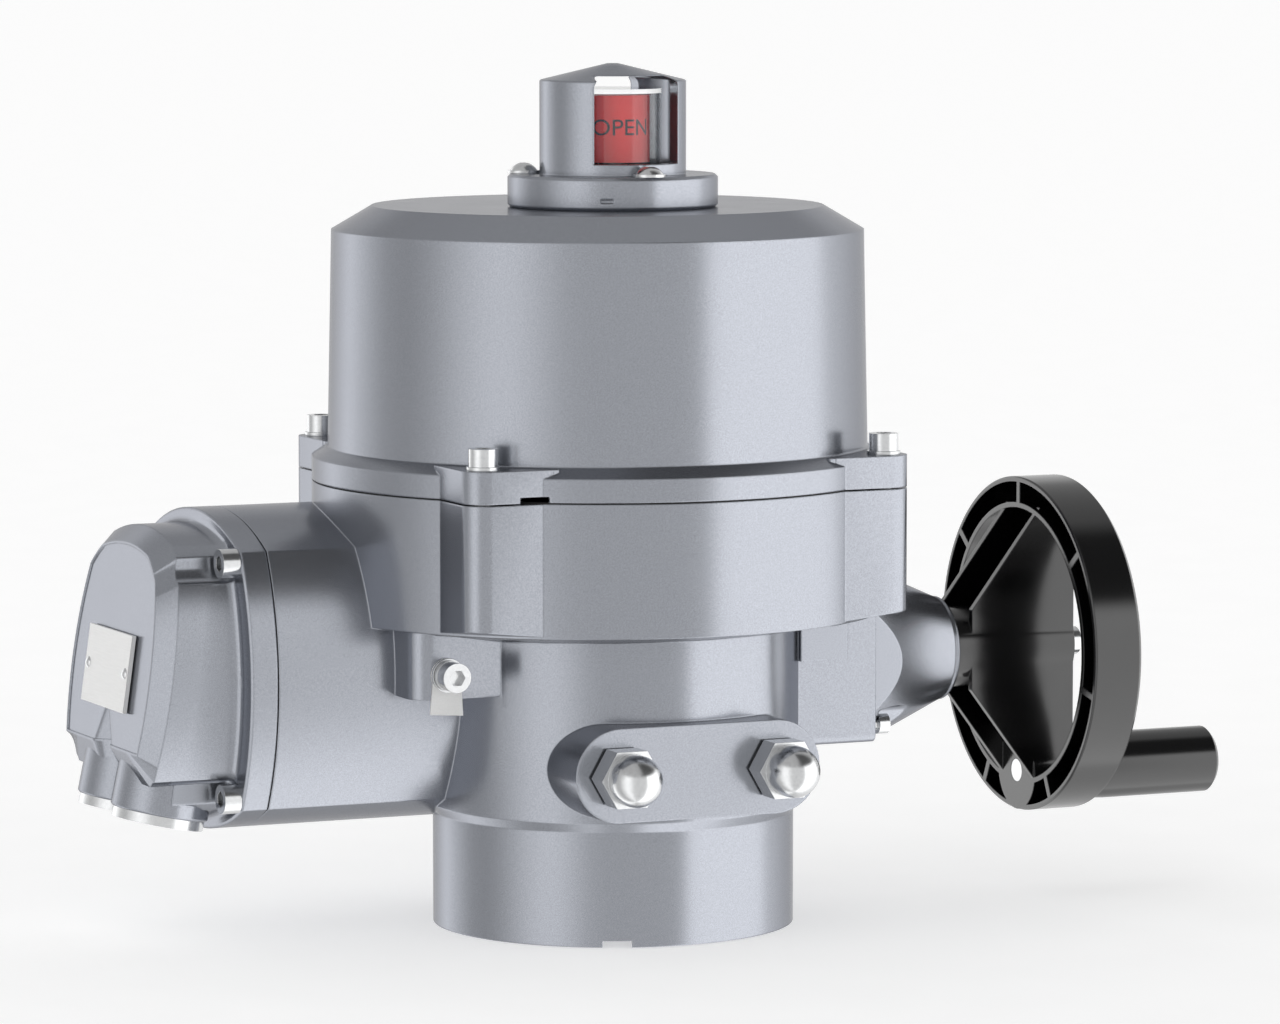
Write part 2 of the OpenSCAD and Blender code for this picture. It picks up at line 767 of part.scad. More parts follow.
module indicator_hood() {
    window_h = hood_shoulder_z + 1.5 - window_z;
    corner = 4;
    edge = 1;
    color(paint) difference() {
        rotate_extrude() polygon([
            [0, cover_top_z], [ind_flange_d / 2 - edge, cover_top_z],
            [ind_flange_d / 2, cover_top_z + edge], [ind_flange_d / 2, ind_flange_z - edge],
            [ind_flange_d / 2 - edge, ind_flange_z], [hood_d / 2, ind_flange_z],
            [hood_d / 2, hood_shoulder_z - 0.5], [hood_d / 2 - 0.5, hood_shoulder_z],
            [2, hood_top_z], [0, hood_top_z]]);
        // Room for the glass, and for the drum's shaft below it
        translate([0, 0, glass_z]) cylinder(r = hood_in_r, h = hood_shoulder_z - glass_z);
        translate([0, 0, cover_top_z - 1]) cylinder(r = glass_d / 2 - 3, h = ind_flange_h + 1);
        // Window through front and back, with rounded upper corners
        rotate([90, 0, 0]) translate([0, 0, -hood_d]) linear_extrude(2 * hood_d) {
            translate([-window_w / 2, window_z]) square([window_w, window_h - corner]);
            translate([corner - window_w / 2, window_z])
                square([window_w - 2 * corner, window_h]);
            for (side = [-1, 1])
                translate([side * (window_w / 2 - corner), window_z + window_h - corner])
                    circle(r = corner);
        }
        at_hood_screws() translate([0, 0, cover_top_z - 1])
            cylinder(d = m5_d + 0.5, h = ind_flange_h + 2);
        // Room for the screw heads in the hood's wall
        at_hood_screws() translate([0, 0, ind_flange_z])
            cylinder(d = m5_washer_d + 0.6, h = m5_washer_t + m5_head_h + 1);
        // Locating slot in the flange's rim
        rotate([0, 0, -117]) translate([ind_flange_d / 2 - 2, -2.15, cover_top_z + 2.6])
            cube([5, 4.3, 1.4]);
    }
}

module indicator_glass() {
    color([0.85, 0.9, 0.92, 0.35]) translate([0, 0, glass_z]) difference() {
        union() {
            cylinder(d = glass_d, h = glass_top_z - glass_z);
            cylinder(r = hood_in_r - seat_gap, h = 2);
        }
        translate([0, 0, -1]) cylinder(d = glass_d - 2 * glass_t, h = glass_top_z - glass_z - glass_t + 1);
    }
}

module indicator_screws() {
    color(steel) at_hood_screws() translate([0, 0, ind_flange_z + m5_washer_t])
        button_screw(m5_d, m5_head_d, m5_head_h, m5_hex, 16);
}

module indicator_washers() {
    color(steel) at_hood_screws() translate([0, 0, ind_flange_z])
        washer(m5_d + 0.3, m5_washer_d, m5_washer_t);
}

module indicator_drum() {
    skin = 2;
    color([0.85, 0.1, 0.1]) difference() {
        translate([0, 0, drum_z]) cylinder(d = drum_d, h = drum_top_z - drum_z);
        translate([0, 0, drum_z - 1])
            cylinder(d = ind_shaft_d, h = drum_top_z - drum_z - skin + 1);
    }
}

module indicator_shaft() {
    plug_h = 12;
    color(steel) {
        translate([0, 0, sleeve_end_z - plug_h])
            cylinder(d = ind_shaft_d, h = drum_top_z - 2 - sleeve_end_z + plug_h);
        translate([0, 0, sleeve_end_z + seat_gap]) cylinder(r = journal_r - 3, h = 3);
    }
}

module switch_cams() {
    color([0.85, 0.85, 0.8]) for (i = [0, 1])
        translate([0, 0, cam_z + cam_pitch * i]) rotate([0, 0, 60 + 90 * i]) difference() {
            union() {
                cylinder(r = 10, h = cam_h);
                intersection() {
                    cylinder(r = 13, h = cam_h);
                    translate([0, -5, 0]) cube([14, 10, cam_h]);
                }
            }
            translate([0, 0, -1]) cylinder(d = ind_shaft_d, h = cam_h + 2);
        }
}

module limit_switches() {
    color([0.15, 0.15, 0.17]) for (i = [0, 1])
        translate([-8, -switch_y, cam_z + cam_pitch * i]) {
            cube([20, 16, cam_h]);
            translate([9, 16, 2.5]) cube([2, 2.2, 2]);
        }
}

// Upright sheet on the gear plate that carries the two switches
module switch_bracket() {
    color(steel) difference() {
        union() {
            translate([-10, -switch_y - bracket_t, plate_z + plate_t])
                cube([24, bracket_t, cam_z + cam_pitch + cam_h - plate_z - plate_t]);
            translate([-10, -switch_y - 16, plate_z + plate_t]) cube([24, 16, bracket_t]);
        }
        at_bracket_screws() translate([0, 0, -bracket_t - 1])
            cylinder(d = m5_d + 0.5, h = bracket_t + 2);
    }
}

// Thin slab of the box's outline that leans like the end panel
module leaning_slab(x, side_in, top_in) {
    translate([x, box_y, box_z]) rotate([0, panel_lean, 0]) rotate([90, 0, 90])
        linear_extrude(0.2) box_outline(side_in, top_in);
}

module terminal_cover() {
    flange_x = -box_reach - box_flange_t;
    trough_r = 7;
    color(paint) difference() {
        union() {
            along_box(flange_x, box_flange_t - seal_t / 2) box_outline(0, 0);
            difference() {
                hull() {
                    along_box(flange_x, 1) box_outline(body_side_in, body_top_in);
                    leaning_slab(panel_x + bevel_depth, body_side_in, body_top_in);
                    leaning_slab(panel_x, panel_side_in, panel_top_in);
                }
                // The lower end of the panel falls back to the conduit bosses
                translate([panel_x - 20, box_y - box_w / 2, box_z - box_h])
                    cube([20 + conduit_x - panel_x, box_w, box_h - 30]);
                // Half round troughs that clear the screw heads
                at_box_screws() cylinder(r = trough_r, h = 40);
            }
            at_conduits() translate([0, 0, -4]) cylinder(d = conduit_d, h = 40);
            // Foot that joins the bosses to the flange
            intersection() {
                along_box(flange_x - 20, 20) box_outline(body_side_in, 2);
                translate([flange_x - 20, box_y - conduit_pitch, box_z - box_h / 2])
                    cube([20, 2 * conduit_pitch, 30]);
            }
        }
        // Hollow for the wiring
        along_box(flange_x - 18, 40) box_outline(body_side_in + wall, body_top_in + wall);
        at_conduits() translate([0, 0, -10]) cylinder(d = conduit_bore_d, h = 30);
        at_box_screws() translate([0, 0, -box_flange_t - 1])
            cylinder(d = m6_d + 0.6, h = box_flange_t + 2);
        // Flat mouths of the conduit bosses
        at_conduits() translate([-30, -conduit_d / 2 - 6, -30]) cube([60, conduit_d + 12, 30]);
    }
}

module terminal_seal() {
    color("black") difference() {
        along_box(-box_reach - seal_t / 2, seal_t) box_outline(0.7, 0.7);
        along_box(-box_reach - 2, 4) box_hollow();
        at_box_screws() translate([0, 0, -box_flange_t - 2]) cylinder(d = m6_d + 1, h = 4);
    }
}

module terminal_cover_screws() {
    color(steel) at_box_screws() socket_screw(m6_d, m6_head_d, m6_hex, 22);
}

module conduit_plugs() {
    flange_t = 3.4;
    flange_d = 31.6;
    color(steel) at_conduits() {
        translate([0, 0, -flange_t]) cylinder(d = flange_d, h = flange_t);
        cylinder(d = conduit_bore_d - 2 * thread_gap, h = 12);
        translate([0, 0, -eps]) cylinder(d = conduit_bore_d - 4, h = 1);
    }
}

module on_panel() {
    translate([panel_x, box_y, box_z]) rotate([0, panel_lean, 0]) children();
}

module nameplate() {
    hole_d = 2;
    color([0.93, 0.93, 0.93]) on_panel() difference() {
        translate([-nameplate_t, -plate_w / 2, nameplate_up - plate_h / 2])
            cube([nameplate_t, plate_w, plate_h]);
        for (side = [-1, 1])
            translate([-nameplate_t - 1, side * (plate_w / 2 - 3), nameplate_up])
                rotate([0, 90, 0]) cylinder(d = hole_d, h = nameplate_t + 2);
    }
}

module nameplate_rivets() {
    color(steel) on_panel() for (side = [-1, 1])
        translate([-nameplate_t, side * (plate_w / 2 - 3), nameplate_up]) rotate([0, -90, 0]) {
            intersection() {
                translate([0, 0, -1.6]) sphere(r = 2.6);
                cylinder(r = 2, h = 2);
            }
            translate([0, 0, -nameplate_t]) cylinder(d = 2, h = nameplate_t + 0.5);
        }
}

module terminal_blocks() {
    rows = 8;
    pitch = 8;
    deep = 16;
    color([0.3, 0.5, 0.35]) for (i = [0 : rows - 1])
        translate([-pocket_x - deep, box_y + (i - rows / 2) * pitch, box_z - 32]) difference() {
            cube([deep, pitch - 0.6, 36]);
            for (z = [6, 30])
                translate([-1, pitch / 2 - 0.3, z]) rotate([0, 90, 0]) cylinder(d = 4, h = 6);
        }
}

module stop_screws() {
    length = stop_boss_reach - stop_tip_y;
    color(steel) at_stops() translate([0, 0, -length])
        cylinder(d = stop_screw_d, h = length + stop_washer_t + 12);
}

module stop_cap_nuts() {
    ball_z = nut_h - nut_dome_d / 2;
    color(steel) at_stops() translate([0, 0, stop_washer_t]) difference() {
        union() {
            intersection() {
                cylinder(d = nut_af / cos(30), h = nut_hex_h, $fn = 6);
                translate([0, 0, nut_hex_h / 2 - 2.5]) sphere(r = nut_af / 2 + 3.5);
            }
            cylinder(d = nut_dome_d, h = ball_z);
            translate([0, 0, ball_z]) sphere(d = nut_dome_d);
        }
        translate([0, 0, -1]) cylinder(d = stop_screw_d, h = 13);
    }
}

module stop_washers() {
    color("black") at_stops() washer(stop_screw_d, nut_af - 0.5, stop_washer_t);
}

module at_earth() {
    translate([earth_screw_x, -earth_face_y, earth_screw_z]) rotate([90, 0, 0]) children();
}

module earth_tag() {
    color([0.9, 0.9, 0.9]) at_earth() difference() {
        linear_extrude(tag_t) union() {
            circle(d = 11.6);
            polygon([[-6.2, -13.2], [5.8, -14], [5, 0], [-5, 0]]);
        }
        translate([0, 0, -1]) cylinder(d = m6_d + 0.4, h = 3);
    }
}

module earth_washers() {
    color(steel) at_earth() translate([0, 0, tag_t]) {
        washer(m6_d + 0.3, m6_washer_d, earth_washer_t);
        translate([0, 0, earth_washer_t + 0.3]) washer(m6_d + 0.3, 10.5, 1.5);
    }
}

module earth_screw() {
    color(steel) at_earth() translate([0, 0, tag_t + earth_washer_t + 1.8])
        socket_screw(m6_d, m6_head_d, m6_hex, 14);
}

// Bonnet of the hand drive
module rounded_square(side, r, t) {
    for (x = [-1, 1], y = [-1, 1])
        translate([x * (side / 2 - r), y * (side / 2 - r), 0]) cylinder(r = r, h = t, $fn = hull_fn);
}

module bonnet() {
    square_l = 3;
    nose_edge = 2.5;
    color(paint) translate([block_reach, 0, hand_z]) rotate([0, 90, 0]) difference() {
        union() {
            translate([-bonnet_flange_z / 2, -bonnet_flange_y / 2, 0])
                cube([bonnet_flange_z, bonnet_flange_y, bonnet_flange_t]);
            cylinder(d = bonnet_spigot_d, h = bonnet_square_x + 5);
            translate([0, 0, -wall]) cylinder(d = bonnet_pilot_d, h = wall + eps);
            hull() {
                translate([0, 0, bonnet_square_x]) rounded_square(bonnet_square, 4, square_l);
                translate([0, 0, bonnet_l - nose_edge])
                    cylinder(d = bonnet_nose_d, h = 0.1, $fn = 64);
            }
            translate([0, 0, bonnet_l - nose_edge - 0.1])
                cylinder(r1 = bonnet_nose_d / 2, r2 = bonnet_nose_d / 2 - nose_edge * 0.6, h = nose_edge + 0.1);
        }
        translate([0, 0, -wall - 1]) cylinder(r = hand_shaft_d / 2 + 3, h = bonnet_l + wall + 2);
        translate([-block_reach, 0, 0]) at_origin_bonnet_holes();
    }
}

module at_origin_bonnet_holes() {
    for (y = [-1, 1], z = [-1, 1])
        translate([block_reach + z * bonnet_screw_z, y * bonnet_screw_y, -1])
            cylinder(d = m4_d + 0.4, h = bonnet_flange_t + 2);
}

module bonnet_screws() {
    color(steel) at_bonnet_screws() socket_screw(m4_d, m4_head_d, m4_hex, 16);
}

module bonnet_bushes() {
    bush_l = 14;
    color(bronze) translate([block_reach, 0, hand_z]) rotate([0, 90, 0])
        for (z = [-wall, bonnet_l - bush_l])
            translate([0, 0, z]) difference() {
                cylinder(r = hand_shaft_d / 2 + 3, h = bush_l);
                translate([0, 0, -1]) cylinder(r = hand_shaft_d / 2 + run_gap, h = bush_l + 2);
            }
}

module hand_shaft() {
    start_x = chamber_x + 0.8;
    square_start = hub_x + 6;
    color(steel) translate([0, 0, hand_z]) rotate([0, 90, 0]) difference() {
        union() {
            translate([0, 0, start_x]) cylinder(d = hand_shaft_d, h = square_start - start_x);
            translate([-shaft_square / 2, -shaft_square / 2, square_start - eps])
                cube([shaft_square, shaft_square, hub_end_x - square_start - 1]);
        }
        translate([0, 0, hub_end_x - 16]) cylinder(d = m6_d, h = 20);
    }
}

module hand_gear() {
    color(dark_steel) spur_gear(0, hand_z, shaft_gear_teeth, hand_gear_phase, hand_shaft_d);
}

// Handwheel
module handwheel() {
    r_out = wheel_d / 2;
    r_in = wheel_inner_d / 2;
    color(black_plastic) translate([0, 0, hand_z]) rotate([0, 90, 0]) difference() {
        union() {
            // Rim, a channel that opens towards the housing
            translate([0, 0, wheel_x]) rotate_extrude() polygon([
                [r_in, 0], [r_in + rim_wall, 0], [r_in + rim_wall, wheel_w - rim_wall],
                [r_out - rim_wall, wheel_w - rim_wall], [r_out - rim_wall, 0], [r_out - 0.5, 0],
                [r_out, 0.5], [r_out, wheel_w - 1.5], [r_out - 1.5, wheel_w], [r_in, wheel_w]]);
            for (i = [0 : rim_ribs - 1])
                rotate([0, 0, 180 + 360 / rim_ribs * i])
                    translate([r_in + rim_wall / 2, -1.2, wheel_x])
                        cube([r_out - r_in - rim_wall, 2.4, wheel_w - 1]);
            // Boss of the crank handle
            translate([handle_r, 0, wheel_x]) cylinder(r = boss_r, h = wheel_w);
            // Hub and two arms, each of two ribs and a web
            translate([0, 0, hub_x]) cylinder(d = hub_d, h = hub_end_x - hub_x);
            for (side = [-1, 1])
                translate([0, side * (spoke_w - spoke_t) / 2 + spoke_t / 2, 0]) rotate([90, 0, 0])
                    linear_extrude(spoke_t) polygon([
                        [-r_in - 1, wheel_x + 2], [-hub_d / 2, hub_x + 6], [hub_d / 2, hub_x + 6],
                        [r_in + 1, wheel_x + 2], [r_in + 1, hub_end_x], [-r_in - 1, hub_end_x]]);
            translate([-r_in - 1, -spoke_w / 2, hub_end_x - spoke_t])
                cube([2 * r_in + 2, spoke_w, spoke_t]);
        }
        translate([0, 0, hub_x - 1]) cylinder(r = hand_shaft_d / 2 + run_gap, h = 7 + eps);
        translate([-shaft_square / 2, -shaft_square / 2, hub_x])
            cube([shaft_square, shaft_square, hub_end_x]);
        translate([handle_r, 0, wheel_x - 1]) cylinder(d = spindle_d, h = wheel_w + 2);
    }
}

module handwheel_screw() {
    washer_t = 1.6;
    color(steel) translate([0, 0, hand_z]) rotate([0, 90, 0]) {
        translate([0, 0, hub_end_x + washer_t]) socket_screw(m6_d, m6_head_d, m6_hex, 14);
        translate([0, 0, hub_end_x]) washer(m6_d, 18, washer_t);
    }
}

module handle_spindle() {
    color(steel) translate([0, 0, handle_z]) rotate([0, 90, 0]) {
        translate([0, 0, wheel_x]) cylinder(d = spindle_d, h = wheel_w + handle_l - 8);
        translate([0, 0, wheel_end_x + handle_l - 8 - eps]) cylinder(d = spindle_d + 5, h = 3);
    }
}

module crank_handle() {
    neck_l = 15;
    r = handle_d / 2;
    head_z = handle_l - 8;
    color(black_plastic) translate([wheel_end_x + seat_gap, 0, handle_z]) rotate([0, 90, 0])
        rotate_extrude() polygon([
            [spindle_d / 2 + run_gap, 0], [r - 0.8, 0], [r, neck_l], [r, handle_l - 1.5],
            [r - 1.5, handle_l], [0, handle_l], [0, handle_l - 2],
            [spindle_d / 2 + 3, handle_l - 2], [spindle_d / 2 + 3, head_z - 0.6],
            [spindle_d / 2 + run_gap, head_z - 0.6]]);
}

// Output drive
module drive_sleeve() {
    socket = stem_square + 0.2;
    color(steel) difference() {
        union() {
            translate([0, 0, sleeve_z]) cylinder(r = sleeve_r, h = sleeve_top_z - sleeve_z + 4);
            translate([0, 0, stop_plate_z + stop_plate_t])
                cylinder(r = collar_r, h = wheel_z - stop_plate_z - stop_plate_t);
            translate([0, 0, sleeve_top_z]) cylinder(r = journal_r, h = sleeve_end_z - sleeve_top_z);
        }
        for (turn = [0, 45])
            rotate([0, 0, turn]) translate([-socket / 2, -socket / 2, 0]) cube([socket, socket, floor_z + 5]);
        translate([0, 0, sleeve_end_z - 12]) cylinder(d = ind_shaft_d, h = 13);
    }
}

module output_bush() {
    color(bronze) translate([0, 0, bush_z]) difference() {
        cylinder(r = sleeve_r + bush_t, h = floor_z - bush_z);
        translate([0, 0, -1]) cylinder(r = sleeve_r + run_gap, h = floor_z);
    }
}

module worm_wheel() {
    twist_turn = lead_slope * worm_wheel_w / (gear_module * wheel_teeth / 2) * 180 / PI;
    gap_phase = 90 + 180 / wheel_teeth - twist_turn / 2;
    color(bronze) difference() {
        translate([0, 0, wheel_z])
            linear_extrude(worm_wheel_w, twist = -twist_turn, slices = 2)
                gear_outline(wheel_teeth, gap_phase);
        translate([0, 0, wheel_z - 1]) cylinder(r = sleeve_r, h = worm_wheel_w + 2);
    }
}

// Two lugs that meet the stop screws at the ends of the quarter turn
module stop_plate() {
    lug_in = stop_x - 8;
    lug_out = stop_x + 9;
    color(dark_steel) translate([0, 0, stop_plate_z]) difference() {
        union() {
            cylinder(r = stop_face_y + 4, h = stop_plate_t);
            translate([-lug_out, -stop_face_y, 0]) cube([lug_out, stop_face_y, stop_plate_t]);
            cube([stop_face_y, lug_out, stop_plate_t]);
        }
        translate([0, 0, -1]) cylinder(r = sleeve_r, h = stop_plate_t + 2);
        // Flats where the stop screws bear
        translate([-60, -stop_face_y - 20, -1]) cube([60, 20, stop_plate_t + 2]);
        translate([stop_face_y, 0, -1]) cube([20, 60, stop_plate_t + 2]);
    }
}

module gear_plate() {
    window_x = chamber_x - 0.3;
    front_y = 51;
    color(dark_steel) difference() {
        translate([0, 0, plate_z]) cylinder(r = plate_r, h = plate_t);
        translate([0, 0, plate_z - 1]) cylinder(r = journal_r + run_gap, h = plate_t + 2);
        translate([window_x, -plate_r, plate_z - 1]) cube([plate_r, 2 * plate_r, plate_t + 2]);
        translate([-plate_r, -plate_r - front_y, plate_z - 1]) cube([2 * plate_r, plate_r, plate_t + 2]);
        at_plate_screws() translate([0, 0, -plate_t - 1]) cylinder(d = m5_d + 0.5, h = plate_t + 2);
        at_bracket_screws() translate([0, 0, -bracket_t - plate_t - 1])
            cylinder(d = m5_d + 2 * thread_gap, h = plate_t + 2);
    }
}

module gear_plate_screws() {
    color(steel) {
        at_plate_screws() socket_screw(m5_d, 8.5, 4, 12);
        at_bracket_screws() socket_screw(m5_d, 8.5, 4, 10);
    }
}

// Worm thread, a ridge of four corners swept along a helix in steps of a fixed angle
module worm_thread(length) {
    step = 15;
    lead = PI * gear_module;
    turns = length / lead;
    count = floor(turns * 360 / step);
    tip_r = worm_pitch_d / 2 + tooth_add * gear_module;
    foot_r = worm_core_r - 0.4;
    half_pitch = lead / 4 - backlash / 2;
    tip_half = half_pitch - tooth_add * gear_module * tan(pressure);
    foot_half = half_pitch + (worm_pitch_d / 2 - foot_r) * tan(pressure);
    section = [[foot_r, -foot_half], [foot_r, foot_half], [tip_r, tip_half], [tip_r, -tip_half]];
    points = [for (i = [0 : count], p = section)
        let (a = (i - count / 2) * step, z = lead * a / 360)
        [p[0] * cos(a + 180), p[0] * sin(a + 180), z + p[1]]];
    sides = [for (i = [0 : count - 1], j = [0 : 3])
        let (k = (j + 1) % 4) each [
            [4 * i + j, 4 * i + 4 + j, 4 * i + k],
            [4 * i + k, 4 * i + 4 + j, 4 * i + 4 + k]]];
    polyhedron(points, concat(sides, [[0, 1, 2, 3]], [[for (j = [3 : -1 : 0]) 4 * count + j]]));
}

module worm_shaft() {
    shoulder_r = worm_core_r + 1.2;
    end_x = gear_x + gear_w + 3;
    color(steel) translate([0, worm_c, hand_z]) {
        rotate([90, 0, 90]) worm_thread(worm_l);
        rotate([0, 90, 0]) {
            translate([0, 0, -bearing_x - bearing_w]) cylinder(d = bearing_id, h = end_x + bearing_x + bearing_w);
            translate([0, 0, -bearing_x]) cylinder(r = worm_core_r, h = 2 * bearing_x);
            for (z = [-bearing_x, worm_l / 2 + 4])
                translate([0, 0, z]) cylinder(r = shoulder_r, h = bearing_x - worm_l / 2 - 4);
        }
    }
}

module worm_bearings() {
    color(steel) for (x = [-bearing_x - bearing_w, bearing_x])
        translate([x, worm_c, hand_z]) rotate([0, 90, 0])
            washer(bearing_id + 2 * run_gap, bearing_od, bearing_w);
}

module worm_shaft_gear() {
    color(dark_steel) spur_gear(worm_c, hand_z, shaft_gear_teeth, worm_gear_phase, bearing_id);
}

module idler_gear() {
    color(dark_steel) spur_gear(idler_y, idler_z, idler_teeth, idler_phase, idler_pin_d + 2 * run_gap);
}

module idler_pin() {
    start_x = motor_front_x;
    color(steel) translate([0, idler_y, idler_z]) rotate([0, 90, 0])
        translate([0, 0, start_x]) cylinder(d = idler_pin_d, h = gear_x + gear_w + 4 - start_x);
}

module motor_pinion() {
    color(dark_steel) {
        spur_gear(motor_y, motor_z, pinion_teeth, pinion_phase, motor_shaft_d);
        translate([motor_front_x + 1, motor_y, motor_z]) rotate([0, 90, 0])
            cylinder(d = motor_shaft_d, h = gear_x + gear_w + 3 - motor_front_x - 1);
    }
}

module geared_motor() {
    body_l = motor_l - gearhead_l;
    color([0.2, 0.25, 0.3]) translate([motor_front_x - motor_l, motor_y, motor_z]) rotate([0, 90, 0]) difference() {
        union() {
            cylinder(d = motor_d - 4, h = body_l);
            translate([0, 0, body_l]) cylinder(d = motor_d, h = gearhead_l);
        }
        translate([0, 0, motor_l - 4]) cylinder(d = motor_shaft_d + 1, h = 5);
    }
}

// Upright plate on the gear plate that carries the motor and the idler's pin
module motor_bracket() {
    side_y = 4;
    color(steel) difference() {
        union() {
            translate([motor_front_x, side_y, plate_z + plate_t])
                cube([bracket_t, motor_y + motor_d / 2 + 1 - side_y, motor_z - plate_z - plate_t + 16]);
            translate([motor_front_x - 16, side_y, plate_z + plate_t]) cube([17, 27, bracket_t]);
        }
        translate([motor_front_x - 1, motor_y, motor_z]) rotate([0, 90, 0])
            cylinder(d = motor_shaft_d + 2, h = bracket_t + 2);
        translate([motor_front_x - 1, idler_y, idler_z]) rotate([0, 90, 0])
            cylinder(d = idler_pin_d, h = bracket_t + 2);
        at_bracket_screws() translate([0, 0, -bracket_t - 1])
            cylinder(d = m5_d + 0.5, h = bracket_t + 2);
    }
}

module control_board() {
    color([0.1, 0.35, 0.2]) difference() {
        translate([0, bowl_y, board_z]) cylinder(r = board_r, h = 1.6);
        translate([0, 0, board_z - 1]) cylinder(r = 10, h = 4);
        at_standoffs() translate([0, 0, board_z - 1]) cylinder(d = 3.4, h = 4);
    }
}

module board_standoffs() {
    color(bronze) at_standoffs() {
        translate([0, 0, bowl_floor_z]) cylinder(d = 7, h = board_z - bowl_floor_z, $fn = 6);
        translate([0, 0, board_z]) cylinder(d = 3, h = 3);
    }
}

lower_housing();
housing_seal();
cover();
cover_screws();
cover_washers();
indicator_hood();
indicator_glass();
indicator_drum();
indicator_screws();
indicator_washers();
indicator_shaft();
indicator_bush();
terminal_cover();
terminal_seal();
terminal_cover_screws();
terminal_blocks();
conduit_plugs();
nameplate();
nameplate_rivets();
stop_screws();
stop_cap_nuts();
stop_washers();
earth_screw();
earth_washers();
earth_tag();
bonnet();
bonnet_screws();
bonnet_bushes();
gear_plate();
gear_plate_screws();
worm_bearings();
output_bush();
geared_motor();
motor_bracket();
idler_pin();
control_board();
board_standoffs();
limit_switches();
switch_bracket();
switch_cams();
drive_sleeve();
worm_wheel();
stop_plate();
worm_shaft();
worm_shaft_gear();
hand_shaft();
hand_gear();
idler_gear();
motor_pinion();
handwheel();
handwheel_screw();
handle_spindle();
crank_handle();
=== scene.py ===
"""Electric valve actuator: finishes, lettering, castings, camera, light and floor round the CAD model."""

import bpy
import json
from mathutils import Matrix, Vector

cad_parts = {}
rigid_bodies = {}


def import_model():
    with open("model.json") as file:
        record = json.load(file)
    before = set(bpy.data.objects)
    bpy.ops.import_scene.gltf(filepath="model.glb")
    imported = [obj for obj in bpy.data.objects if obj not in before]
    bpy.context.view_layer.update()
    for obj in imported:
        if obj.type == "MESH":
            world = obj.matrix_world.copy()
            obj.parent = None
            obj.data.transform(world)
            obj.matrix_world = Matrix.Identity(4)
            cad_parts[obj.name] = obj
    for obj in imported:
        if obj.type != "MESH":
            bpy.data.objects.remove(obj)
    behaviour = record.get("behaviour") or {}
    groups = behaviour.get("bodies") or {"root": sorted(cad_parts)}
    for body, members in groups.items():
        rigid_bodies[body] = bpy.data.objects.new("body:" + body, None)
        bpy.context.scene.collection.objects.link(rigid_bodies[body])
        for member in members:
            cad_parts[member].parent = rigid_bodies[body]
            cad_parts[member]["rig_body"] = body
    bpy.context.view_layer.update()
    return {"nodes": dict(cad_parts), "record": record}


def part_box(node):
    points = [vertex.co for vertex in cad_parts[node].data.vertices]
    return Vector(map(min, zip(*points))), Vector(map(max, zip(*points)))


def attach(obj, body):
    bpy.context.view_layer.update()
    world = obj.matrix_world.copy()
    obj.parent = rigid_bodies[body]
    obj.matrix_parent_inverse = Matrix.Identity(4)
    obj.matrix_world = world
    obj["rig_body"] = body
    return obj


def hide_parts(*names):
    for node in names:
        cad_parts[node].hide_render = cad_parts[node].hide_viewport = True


bl_info = {
    "name": "Electric valve actuator",
    "version": (1, 0, 0),
    "blender": (4, 5, 0),
    "location": "3D View > Sidebar > Actuator",
    "description": "Dresses the packed model of a quarter-turn electric valve actuator",
    "category": "Object",
}

import itertools
import json
import math

import bmesh
import bpy
import numpy as np
from bpy.props import FloatProperty, PointerProperty, StringProperty
from mathutils import Matrix

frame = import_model()

MM = 0.001
SLOT_OF = {part["node"]: part["material_slot"] for part in frame["record"]["subparts"]}

# Camera of the photograph: right, up and view directions, found from the object's own circles
CAMERA_AT = (-0.8897, -2.0121, 0.3595)
CAMERA_RIGHT = (0.9128, -0.4083, 0.0)
CAMERA_UP = (0.0402, 0.0899, 0.9951)
CAMERA_VIEW = (0.4063, 0.9084, -0.0985)
LENS_MM = 180
SENSOR_MM = 36

# Edges that bend more than this stay sharp, in degrees
SHARP = 22.0

# Middle of the bowl and of the terminal box, in millimetres
BOWL_Y = 13.0
BOX_Y, BOX_Z = 40.0, 90.2


# Small tools


def linear(code):
    """sRGB hex code to linear colour: c/12.92 below 0.04045, else ((c + 0.055) / 1.055) to the power 2.4."""
    parts = np.array([int(code[i:i + 2], 16) for i in (1, 3, 5)]) / 255
    return (*np.where(parts <= 0.04045, parts / 12.92, ((parts + 0.055) / 1.055) ** 2.4), 1.0)


def add_node(tree, kind, values=None, links=None, **settings):
    """Add one node with its settings, values for unlinked inputs and the outputs that feed the others."""
    node = tree.nodes.new(kind)
    for name, value in settings.items():
        setattr(node, name, value)
    for name, value in (values or {}).items():
        node.inputs[name].default_value = value
    for name, output in (links or {}).items():
        tree.links.new(output, node.inputs[name])
    return node


def set_ramp(node, stops):
    """Give a Color Ramp node its stops, each a place from 0 to 1 and a linear colour."""
    elements = node.color_ramp.elements
    while len(elements) < len(stops):
        elements.new(1.0)
    for element, (place, colour) in zip(elements, stops):
        element.position = place
        element.color = colour


